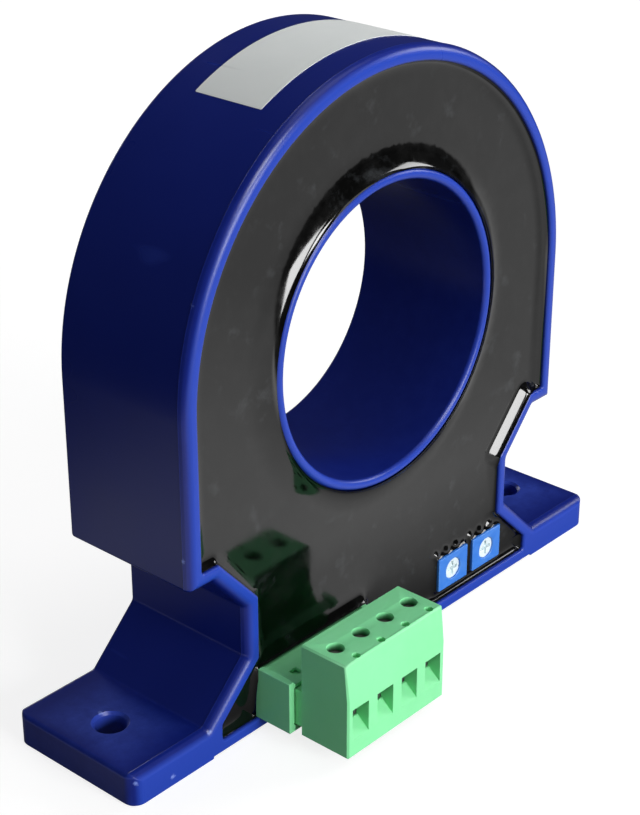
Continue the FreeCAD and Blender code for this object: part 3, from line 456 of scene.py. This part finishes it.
# Magnetic core and sensing element
# A ring wound from thin bright strip, cut through at the bottom, and a flat black sensor package in the
# cut on three tinned leads. Both are sealed in the resin and show only if it is cut away.
core_strip, tree, shader = new_material("core_strip")
place = add(tree, "TexCoord").outputs["Object"]
centred = add(tree, "Mapping", Vector=place, Location=(0, 0, -window_z)).outputs[0]
axes = add(tree, "SeparateXYZ", Vector=centred).outputs
radial = math_node(tree, "SQRT", math_node(tree, "ADD", math_node(tree, "POWER", axes["X"], 2.0),
                                           math_node(tree, "POWER", axes["Z"], 2.0)))
strip_thickness = 0.3 * MM
wound = math_node(tree, "SINE", math_node(tree, "MULTIPLY", radial, 2 * math.pi / strip_thickness))
tree.links.new(blend_colours(tree, math_node(tree, "MULTIPLY_ADD", wound, 0.5, 0.5), srgb(70, 72, 76),
                             srgb(168, 170, 174)), shader.inputs["Base Color"])
tree.links.new(add(tree, "Bump", Height=wound, Strength=0.4, Distance=0.02 * MM).outputs[0],
               shader.inputs["Normal"])
shader.inputs["Metallic"].default_value = 0.9
shader.inputs["Roughness"].default_value = 0.34


def dress(finish, *nodes):
    """Gives carried-over solids their material."""
    for node in nodes:
        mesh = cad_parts[node].data
        mesh.materials.clear()
        mesh.materials.append(finish)


dress(core_strip, "magnetic_core")
chip_black = plastic("chip_black", srgb(28, 28, 30), srgb(70, 70, 74), roughness=0.55,
                     grain_depth=0.01 * MM)
dress(chip_black, "hall_element", "amplifier_chip", "reference_chip")

# Circuit board and the parts on it
# A glass laminate board with a green mask over its copper tracks. Chip resistors and capacitors stand on
# its front, and two sleeved supply capacitors lie behind it. All of it is sealed in the resin.
green_mask, tree, shader = new_material("green_mask")
place = add(tree, "TexCoord").outputs["Object"]
weave = add(tree, "TexChecker", Vector=place, Scale=2500.0).outputs["Fac"]
front_on = add(tree, "Mapping", Vector=place, Rotation=(math.pi / 2, 0, 0)).outputs[0]
copper = add(tree, "TexBrick", Vector=front_on, Scale=160.0, Mortar_Size=0.09).outputs["Fac"]
masked = blend_colours(tree, copper, srgb(18, 84, 44), srgb(44, 130, 70))
tree.links.new(blend_colours(tree, math_node(tree, "MULTIPLY", weave, 0.12), masked, srgb(120, 150, 90)),
               shader.inputs["Base Color"])
shader.inputs["Roughness"].default_value = 0.3
tree.links.new(add(tree, "Bump", Height=copper, Strength=0.5, Distance=0.03 * MM).outputs[0],
               shader.inputs["Normal"])
dress(green_mask, "circuit_board")


def tipped(name, middle_colour, node, half_length, first_x, pitch):
    """Two-ended parts in a row: fired ceramic in the middle and bright solder on both end caps."""
    finish, tree, shader = new_material(name)
    across = add(tree, "SeparateXYZ", Vector=add(tree, "TexCoord").outputs["Object"]).outputs["X"]
    phase = math_node(tree, "PINGPONG", math_node(tree, "SUBTRACT", across, first_x + pitch), pitch / 2)
    cap_from, cap_to = half_length * 0.62, half_length * 0.66
    cap = add(tree, "MapRange", Value=phase, From_Min=cap_from, From_Max=cap_to).outputs[0]
    shade = place_group(tree, grain)["Patch"]
    middle = blend_colours(tree, shade, middle_colour, srgb(30, 30, 32))
    tree.links.new(blend_colours(tree, cap, middle, srgb(196, 196, 192)), shader.inputs["Base Color"])
    tree.links.new(cap, shader.inputs["Metallic"])
    shader.inputs["Roughness"].default_value = 0.35
    dress(finish, node)


small_half, small_pitch = 1.0 * MM, 4.2 * MM
resistor_low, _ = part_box("chip_resistors")
ceramic_low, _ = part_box("chip_capacitors")
tipped("resistor_ceramic", srgb(40, 40, 44), "chip_resistors", small_half,
       resistor_low.x + small_half, small_pitch)
tipped("capacitor_ceramic", srgb(150, 120, 84), "chip_capacitors", small_half,
       ceramic_low.x + small_half, small_pitch)
can_sleeve = plastic("can_sleeve", srgb(24, 26, 44), srgb(120, 124, 150), roughness=0.3,
                     grain_depth=0.01 * MM)
dress(can_sleeve, "positive_supply_capacitor", "negative_supply_capacitor")

# Header
# An open green shroud soldered to the board before potting, with coding slots along its top and four
# square tinned pins inside. The resin has crept a little way up it.


def eased(node, name, width):
    """A merged copy of a solid whose sharp edges are broken by a small round, as any moulding's are. Faces
    of more than four sides are cut up first, because one that runs round an opening would fold over."""
    work = bmesh.new()
    work.from_mesh(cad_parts[node].data)
    bmesh.ops.remove_doubles(work, verts=work.verts, dist=weld_distance)
    bmesh.ops.dissolve_limit(work, angle_limit=math.radians(1), verts=work.verts, edges=work.edges)
    bmesh.ops.triangulate(work, faces=[face for face in work.faces if len(face.verts) > 4])
    mesh = bpy.data.meshes.new(name)
    work.to_mesh(mesh)
    work.free()
    piece = bpy.data.objects.new(name, mesh)
    bpy.context.scene.collection.objects.link(piece)
    rounding = piece.modifiers.new("rounding", "BEVEL")
    rounding.width, rounding.segments = width, 3
    rounding.limit_method, rounding.angle_limit = "ANGLE", math.radians(35)
    rounding.miter_outer = "MITER_ARC"
    apply_modifiers(piece)
    return piece


block_green = plastic("block_green", srgb(138, 238, 168), srgb(176, 240, 198), roughness=0.42,
                      grain_depth=0.015 * MM, rub_and_highlight=0.35, specular=0.2)
# painted shade on the driver holes' walls, which little light reaches, from a radius round each screw's
# axis
hole_wall, full_shade_wall = 1.8 * MM, 1.74 * MM
shade_top, full_shade_top = 0.15 * MM, 1.1 * MM
tree = block_green.node_tree
screw_low, screw_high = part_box("clamp_screw_1")
next_low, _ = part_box("clamp_screw_2")
screw_axis = (screw_low + screw_high) / 2
axes = add(tree, "SeparateXYZ", Vector=add(tree, "TexCoord").outputs["Object"]).outputs
aside = math_node(tree, "PINGPONG", math_node(tree, "SUBTRACT", axes["X"], screw_axis.x),
                  abs(next_low.x - screw_low.x) / 2)
off_axis = add(tree, "CombineXYZ", X=aside, Y=math_node(tree, "SUBTRACT", axes["Y"], screw_axis.y))
off_axis = add(tree, "VectorMath", {"operation": "LENGTH"}, i0=off_axis.outputs[0]).outputs["Value"]
chamber = add(tree, "MapRange", Value=off_axis, From_Min=hole_wall, From_Max=full_shade_wall).outputs[0]
plug_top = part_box("plug_body")[1].z
sunk = add(tree, "MapRange", Value=axes["Z"], From_Min=plug_top - shade_top,
           From_Max=plug_top - full_shade_top).outputs[0]
moulded = tree.nodes["Principled BSDF"].inputs["Base Color"].links[0].from_socket
tree.links.new(blend_colours(tree, math_node(tree, "MULTIPLY", chamber, sunk), moulded, srgb(34, 96, 58)),
               tree.nodes["Principled BSDF"].inputs["Base Color"])
header = eased("header_shell", "header", 0.12 * MM)
smooth(header)
fit(header, block_green, "base", "green_plastic", "header_shell")

tinned, tree, shader = new_material("tinned")
surface = place_group(tree, grain, Grains=1800.0)
tree.links.new(blend_colours(tree, surface["Patch"], srgb(176, 174, 168), srgb(214, 212, 208)),
               shader.inputs["Base Color"])
tree.links.new(math_node(tree, "MULTIPLY_ADD", surface["Patch"], 0.25, 0.18), shader.inputs["Roughness"])
shader.inputs["Metallic"].default_value = 1.0
dress(tinned, "header_pins", "zero_trimmer_leads", "gain_trimmer_leads")

# Trimmers
# Two small square trimming resistors, zero and span: a blue case with a white rotor that has a driver
# cross, a ceramic element behind it, a bronze wiper, and three leads bent back over the top to the board.
trimmer_blue = plastic("trimmer_blue", srgb(24, 112, 216), srgb(140, 190, 240), roughness=0.3,
                       grain_depth=0.008 * MM, rub_and_highlight=0.4)
rotor_white = plastic("rotor_white", srgb(226, 240, 244), srgb(250, 252, 252), roughness=0.3,
                      grain_depth=0.006 * MM, rub_and_highlight=0.2)
element_ceramic = plastic("element_ceramic", srgb(214, 208, 196), srgb(232, 228, 220), roughness=0.6,
                          grain_depth=0.01 * MM)
spring_bronze, tree, shader = new_material("spring_bronze")
surface = place_group(tree, grain, Grains=1200.0)
tree.links.new(blend_colours(tree, surface["Patch"], srgb(164, 112, 60), srgb(204, 154, 96)),
               shader.inputs["Base Color"])
tree.links.new(math_node(tree, "MULTIPLY_ADD", surface["Height"], 0.2, 0.2), shader.inputs["Roughness"])
shader.inputs["Metallic"].default_value = 1.0
for role in ("zero", "gain"):
    case = eased(f"{role}_trimmer_case", f"{role}_case", 0.15 * MM)
    smooth(case)
    fit(case, trimmer_blue, "base", "trimmer_plastic", f"{role}_trimmer_case")
    rotor = eased(f"{role}_trimmer_rotor", f"{role}_rotor_disc", 0.08 * MM)
    smooth(rotor)
    fit(rotor, rotor_white, f"{role}_rotor", "rotor_plastic", f"{role}_trimmer_rotor")
    dress(element_ceramic, f"{role}_trimmer_element")
    dress(spring_bronze, f"{role}_trimmer_wiper")

# Potting resin
# Black epoxy poured in from the front over everything inside. It cured level and glossy, and climbed every
# wall it touches: the rim, the tube, the header, the trimmers and the trimmers' leads.
resin_recess = 1.5 * MM
header_low, header_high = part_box("header_shell")
board_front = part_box("circuit_board")[0].y


def divided(loop, like, spacing=0.6 * MM):
    """A loop with points added along its sides, as many as a side of another loop needs to keep its points
    that close, so that loops divided alike stay in step."""
    count = np.ceil(np.hypot(*(np.roll(like, -1, axis=0) - like).T) / spacing).astype(int).clip(1)
    first = np.repeat(np.cumsum(count) - count, count)
    share = (np.arange(count.sum()) - first) / np.repeat(count, count)
    step = np.roll(loop, -1, axis=0) - loop
    return np.repeat(loop, count, axis=0) + share[:, None] * np.repeat(step, count, axis=0)


def distance(points, loop):
    """The distance of each flat point from a loop's nearest side, clamped to that side's two ends."""
    step = np.roll(loop, -1, axis=0) - loop
    offset = points[:, None] - loop
    along = np.clip((offset * step).sum(-1) / (step * step).sum(-1), 0, 1)
    return np.linalg.norm(offset - along[..., None] * step, axis=-1).min(1)


def rectangle(low, high, radius=0.1 * MM):
    """A box's front outline as corners that rounded_loop can move outward."""
    return np.array([(low.x, low.z, radius, 5), (high.x, low.z, radius, 5),
                     (high.x, high.z, radius, 5), (low.x, high.z, radius, 5)])


def wall_ring(corners):
    """Loops at any distance into the resin from a wall, all with points in step."""
    base = rounded_loop(corners, 0)
    return lambda away: divided(rounded_loop(corners, away), base)


# the outer wall goes up and over the header, which stands on its floor
header_notch = [(header_low.x, header_low.z), (header_low.x, header_high.z),
                (header_high.x, header_high.z), (header_high.x, header_low.z)]
outer_wall = np.vstack([trough, [(x, z, 0.15 * MM, 4) for x, z in header_notch]])
cases = [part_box(f"{role}_trimmer_case") for role in ("zero", "gain")]
rings = [wall_ring(outer_wall), lambda away: circle(tube_radius + away, 0, window_z, 240)]
rings += [wall_ring(rectangle(low, high)[::-1]) for low, high in cases]
# for each wall, the height of the long gentle climb, how far out it begins, and the short steep climb
climbs = [(0.5 * MM, 2.0 * MM, 0.4 * MM), (1.12 * MM, 4.2 * MM, 0.28 * MM),
          (0.35 * MM, 1.2 * MM, 0.2 * MM), (0.35 * MM, 1.2 * MM, 0.2 * MM)]
steep_reach = 0.2 * MM
header_climb, header_reach = 0.9 * MM, 7.0 * MM
# the slanted wall under the right ledge, where the pour ran up highest, and how many millimetres out
taper, taper_reach = trough[3:5, :2], 1.7
# next to a wall the surface is made of close bands in step with it, and beyond them of triangles through
# loops ever further out and a plain grid of points
bands = np.array([0, 0.04, 0.09, 0.15, 0.22, 0.3, 0.4]) * MM
beyond = np.array([0.52, 0.68, 0.88, 1.12, 1.4, 1.75, 2.2, 2.8, 3.5, 4.3]) * MM
grid_spacing, clearance = 2.2, 0.08 * MM
borders = [ring(0) for ring in rings]
band_ends = [ring(bands[-1]) for ring in rings]
inner_points = [ring(step) for ring, (_, reach, _) in zip(rings, climbs)
                for step in beyond[beyond < reach + bands[-1]]]
grid = np.stack(np.meshgrid(np.arange(-38, 38, grid_spacing), np.arange(2, 90, grid_spacing)), -1)
inner_points = np.concatenate([*inner_points, grid.reshape(-1, 2) * MM])
allowed = inside(inner_points, band_ends[0])
for band_end in band_ends[1:]:
    allowed &= ~inside(inner_points, band_end)
for band_end in band_ends:
    allowed &= distance(inner_points, band_end) > clearance
inner_points = inner_points[allowed]
surface_points, surface_faces = plate(0, *band_ends, between=[inner_points])

# where each trimmer's three leads bend over, just under the skin above its case
lead_offsets, lead_height = np.array([-3.3, -0.9, 1.5]) * MM, 0.62 * MM
lead_rows = [(low.x + high.x) / 2 + lead_offsets for low, high in cases]
lead_places = [(x, cases[0][1].z + lead_height) for row in lead_rows for x in row]
dome_height, dome_radius = 0.5 * MM, 0.55 * MM
pour_wave, below_rim = 0.012 * MM, 0.08 * MM


def resin_rise(points):
    """Height of the cured surface over its level part. Each wall adds gentle (1 - distance / reach)^2 and
    steep exp(-distance / steep_reach). The header adds a wider climb of the first kind from its top edge.
    The right taper adds 0.1 (r - d) + 0.125 (r^2 - d^2), in millimetres, which makes its slope even. Each
    lead under the skin adds a small dome, and slow sines the unevenness of a hand pour. The surface never
    tops the rim."""
    rise = np.zeros(len(points))
    for border, (gentle, reach, steep) in zip(borders, climbs):
        away = distance(points, border)
        rise += gentle * np.clip(1 - away / reach, 0, 1) ** 2 + steep * np.exp(-away / steep_reach)
    off_header = distance(points, np.array(header_notch[1:3]))
    rise += header_climb * np.clip(1 - off_header / header_reach, 0, 1) ** 2
    off_taper = np.minimum(distance(points, taper) / MM, taper_reach)
    rise += (0.1 * (taper_reach - off_taper) + 0.125 * (taper_reach**2 - off_taper**2)) * MM
    for x, z in lead_places:
        off_lead = np.hypot(points[:, 0] - x, points[:, 1] - z)
        rise += dome_height * np.exp(-(off_lead / dome_radius) ** 2)
    x, z = (points / MM).T
    rise += pour_wave * (np.sin(0.21 * x + 0.6) * np.sin(0.17 * z) + 0.5 * np.sin(0.47 * x - 0.31 * z))
    return np.minimum(rise, resin_recess - below_rim)


level = front_y + resin_recess
surface_points[:, 1] = level - resin_rise(surface_points[:, flat])
floors = [cavity_floor, cavity_floor, board_front, board_front]
walls = []
for ring, border, deep in zip(rings, borders, floors):
    climb = [at_depth(ring(step), level - resin_rise(ring(step))) for step in bands[::-1]]
    walls.append(skin([*climb, at_depth(border, deep)]))
resin = solid("resin", (surface_points, surface_faces), *walls, plate(cavity_floor, borders[0], borders[1]),
              *[plate(board_front, border) for border in borders[2:]])
smooth(resin, 60)

black_resin, tree, shader = new_material("black_resin")
place = add(tree, "TexCoord").outputs["Object"]
# settled dust, and the wider grey marks of haze and fingers over it
dust = add(tree, "TexNoise", Vector=place, Scale=240.0, Detail=5.0, Roughness=0.7).outputs["Fac"]
dust = add(tree, "MapRange", Value=dust, From_Min=0.45, From_Max=0.8).outputs[0]
haze = add(tree, "TexNoise", Vector=place, Scale=210.0, Detail=5.0, Roughness=0.65).outputs["Fac"]
haze = add(tree, "MapRange", Value=haze, From_Min=0.58, From_Max=0.78).outputs[0]
clean = blend_colours(tree, dust, srgb(2, 2, 2), srgb(18, 18, 18))
tree.links.new(blend_colours(tree, haze, clean, srgb(46, 48, 50)), shader.inputs["Base Color"])
tree.links.new(math_node(tree, "MULTIPLY_ADD", dust, 0.1, 0.08), shader.inputs["Roughness"])
ripple = add(tree, "TexNoise", Vector=place, Scale=150.0, Detail=4.0, Roughness=0.6).outputs["Fac"]
tree.links.new(add(tree, "Bump", Height=ripple, Strength=0.2, Distance=0.05 * MM).outputs[0],
               shader.inputs["Normal"])
fit(resin, black_resin, "base", "black_resin", "potting_fill")

# Rating label
# A strip of pale polyester film stuck over the top of the arch, with rounded corners. It is blank, with
# faint patches and hairline scuffs.
label_length, label_width = 38.8 * MM, 11.5 * MM
label_film, film_underside = 0.07 * MM, 0.005 * MM
label_low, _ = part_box("rating_label")
corner = 0.25 * MM
across = np.concatenate([edge_depths(corner), label_width - edge_depths(corner)[::-1]])
along = np.linspace(-1, 1, 97)
reach = label_length / 2 - edge_inset(corner, np.minimum(across, label_width - across))
angle = along[None] * reach[:, None] / arch_radius
depth = np.repeat((label_low.y + across)[:, None], len(along), 1)


def film_side(height):
    """The film's grid, bent over the arch at a height above it: x = R sin a, z = centre + R cos a."""
    radius = arch_radius + height
    return np.stack([radius * np.sin(angle), depth, window_z + radius * np.cos(angle)], -1).reshape(-1, 3)


def grid_faces(rows, columns):
    """Quads of an open grid of points."""
    row, column = np.meshgrid(np.arange(rows - 1), np.arange(columns - 1), indexing="ij")
    first = (row * columns + column).reshape(-1)
    return np.stack([first, first + 1, first + columns + 1, first + columns], 1)


numbers = np.arange(len(across) * len(along)).reshape(len(across), len(along))
hem = np.concatenate([numbers[0], numbers[1:, -1], numbers[-1, -2::-1], numbers[-2:0:-1, 0]])
top, bottom = film_side(label_film), film_side(film_underside)
quads = grid_faces(len(across), len(along))
label = solid("label", (top, quads), (bottom, quads), skin([top[hem], bottom[hem]]))
smooth(label)
pale_film, tree, shader = new_material("pale_film")
surface = place_group(tree, grain, Grains=900.0, Patches=140.0)
use = place_group(tree, wear_and_highlight)
shade = blend_colours(tree, surface["Patch"], srgb(238, 244, 243), srgb(248, 251, 250))
tree.links.new(blend_colours(tree, use["Scuff"], shade, srgb(226, 230, 230)), shader.inputs["Base Color"])
tree.links.new(math_node(tree, "MULTIPLY_ADD", surface["Patch"], 0.2, 0.4), shader.inputs["Roughness"])
tree.links.new(add(tree, "Bump", Height=surface["Patch"], Strength=0.2, Distance=0.03 * MM).outputs[0],
               shader.inputs["Normal"])
fit(label, pale_film, "base", "pale_film", "rating_label")

# Terminal plug
# A green moulded block that pushes into the header: four wire entries with sloping shelves in front, a
# driver hole over each screw, and a tongue that holds the fork contacts.
plug = eased("plug_body", "plug_block", 0.12 * MM)
smooth(plug)
fit(plug, block_green, "plug", "green_plastic", "plug_body")
plated, tree, shader = new_material("plated")
surface = place_group(tree, grain, Grains=1400.0)
tree.links.new(blend_colours(tree, surface["Patch"], srgb(138, 138, 134), srgb(172, 172, 168)),
               shader.inputs["Base Color"])
tree.links.new(math_node(tree, "MULTIPLY_ADD", surface["Height"], 0.2, 0.38), shader.inputs["Roughness"])
shader.inputs["Metallic"].default_value = 1.0
dress(plated, *[f"clamp_{part}_{number}" for part in ("cage", "screw") for number in range(1, 5)])
dress(tinned, *[f"plug_contact_{number}" for number in range(1, 5)])

# Studio
# A plain pale floor that fades into a white background, and soft square lamps in front, at the right, at
# the left, over the crown and behind. Glossy surfaces also see a card in front and a bright pool on the
# floor, which is shaded round and behind the object.
half_floor = 3.0
floor_mesh = bpy.data.meshes.new("floor")
floor_corners = [(-half_floor, -half_floor, 0), (half_floor, -half_floor, 0),
                 (half_floor, half_floor, 0), (-half_floor, half_floor, 0)]
floor_mesh.from_pydata(floor_corners, [], [(0, 1, 2, 3)])
floor = bpy.data.objects.new("floor", floor_mesh)
bpy.context.scene.collection.objects.link(floor)
paper = bpy.data.materials.new("paper")
paper.use_nodes = True
tree = paper.node_tree
tree.nodes.clear()
ray = add(tree, "LightPath").outputs
place = add(tree, "TexCoord").outputs["Object"]
pool_middle, shade_middle = (0.12, -0.12, 0), (-0.01, 0.03, 0)
off_pool = add(tree, "VectorMath", {"operation": "DISTANCE"}, i0=place, i1=pool_middle).outputs["Value"]
pool = add(tree, "MapRange", {"interpolation_type": "SMOOTHSTEP"}, Value=off_pool, From_Min=0.21,
           From_Max=0.33, To_Min=1.2, To_Max=0.07).outputs[0]
axes = add(tree, "SeparateXYZ", Vector=place).outputs
beside = [math_node(tree, "SUBTRACT", math_node(tree, "ABSOLUTE", axes[axis]), half)
          for axis, half in (("X", foot_end), ("Y", -front_y))]
off_object = math_node(tree, "MAXIMUM", *beside)
slant = math_node(tree, "MULTIPLY_ADD", axes["X"], 0.35, axes["Y"])
off_back = add(tree, "VectorMath", {"operation": "DISTANCE"}, i0=place, i1=shade_middle).outputs["Value"]
# the pool dims to the right and behind, is brighter at the far left, and is shaded next to the object. A
# row is where the change begins, where it ends, and the level at each.
for value, begins, ends, first_level, last_level in (
        (axes["X"], 0.03, 0.09, 0.88, 0.58), (axes["X"], -0.11, -0.05, 2.6, 1),
        (axes["Y"], -0.01, 0.02, 1, 0.6), (slant, 0.02, 0.045, 1, 0.3),
        (off_object, 0, 0.024, 0.15, 1), (off_back, 0.035, 0.06, 0.35, 1)):
    share = add(tree, "MapRange", Value=value, From_Min=begins, From_Max=ends, To_Min=first_level,
                To_Max=last_level).outputs[0]
    pool = math_node(tree, "MULTIPLY", pool, share)
plain = math_node(tree, "MAXIMUM", ray["Is Camera Ray"], ray["Is Transmission Ray"])
far = add(tree, "MapRange", Value=off_pool, From_Min=0.2, From_Max=0.7, To_Min=0.8, To_Max=1.0).outputs[0]
glow = math_node(tree, "ADD", math_node(tree, "MULTIPLY", plain, far),
                 math_node(tree, "MULTIPLY", ray["Is Glossy Ray"], pool))
# how much of the lamps' light the paper gives back, and so how dark the object's shadow is on it
cover = math_node(tree, "MULTIPLY_ADD", plain, 0.25, 0.15)
cover = math_node(tree, "MULTIPLY_ADD", ray["Is Glossy Ray"], -0.12, cover)
shown = add(tree, "Emission", Color=(1, 1, 1, 1), Strength=glow).outputs[0]
cover_grey = add(tree, "CombineColor", Red=cover, Green=cover, Blue=cover).outputs[0]
lit = add(tree, "BsdfDiffuse", Color=cover_grey).outputs[0]
mixed = add(tree, "AddShader", i0=shown, i1=lit).outputs[0]
tree.links.new(mixed, add(tree, "OutputMaterial").inputs["Surface"])
floor_mesh.materials.append(paper)

object_middle = Vector((0, 0, window_z * 0.85))


def soft_light(name, direction, metres, size, level):
    """A square lamp that far away in a direction, which lights a face turned to it to that level."""
    lamp = bpy.data.lights.new(name, "AREA")
    lamp.shape, lamp.size = "SQUARE", size
    lamp.energy = level * math.pi**2 * metres**2
    made = bpy.data.objects.new(name, lamp)
    away = Vector(direction).normalized()
    made.location = object_middle + away * metres
    made.rotation_euler = away.to_track_quat("Z", "Y").to_euler()
    bpy.context.scene.collection.objects.link(made)
    return made


soft_light("front_light", (0.0, -0.97, 0.2), 0.8, 0.34, 1.0)
soft_light("right_light", (0.84, -0.36, 0.4), 0.8, 0.30, 0.36)
soft_light("left_light", (-0.95, -0.1, 0.12), 0.8, 0.3, 0.07).visible_glossy = False
soft_light("crown_light", (0.1, -0.1, 1), 0.17, 0.1, 0.18).visible_camera = False
soft_light("back_light", (0.3, 0.94, 0.1), 0.9, 0.5, 0.3)
# a card that only glossy surfaces see, for the glints along the resin's edge at the window
soft_light("glint_card", (-0.15, -0.72, 0.68), 0.8, 0.26, 0.8).visible_diffuse = False

world = bpy.data.worlds.new("studio")
bpy.context.scene.world = world
world.use_nodes = True
tree = world.node_tree
ray = add(tree, "LightPath").outputs
# white for the camera, dim for what it lights, and dimmer still in what glossy surfaces mirror
white = math_node(tree, "MAXIMUM", ray["Is Camera Ray"], ray["Is Transmission Ray"])
dim, shine = 0.11, 0.05
strength = math_node(tree, "MULTIPLY_ADD", white, 1.0 - dim, dim)
strength = math_node(tree, "MULTIPLY_ADD", ray["Is Glossy Ray"], shine - dim, strength)
background = tree.nodes["Background"]
background.inputs["Color"].default_value = (1, 1, 1, 1)
tree.links.new(strength, background.inputs["Strength"])

# Camera
# The photograph's place and framing: to the left of the front and above, with a short telephoto lens.
azimuth, elevation, camera_distance = math.radians(-48.37), math.radians(26.21), 256.7 * MM
target = Vector((-14.52 * MM, front_y, 44.88 * MM))
back = Vector((math.sin(azimuth) * math.cos(elevation), -math.cos(azimuth) * math.cos(elevation),
               math.sin(elevation)))
camera_data = bpy.data.cameras.new("camera")
camera_data.lens, camera_data.sensor_width = 85.9, 36.0
camera_data.clip_start = 0.01
camera = bpy.data.objects.new("camera", camera_data)
camera.location = target + back * camera_distance
camera.rotation_mode = "QUATERNION"
camera.rotation_quaternion = (-back).to_track_quat("-Z", "Y")
bpy.context.scene.collection.objects.link(camera)
bpy.context.scene.camera = camera
bpy.context.scene.view_settings.view_transform = "Standard"
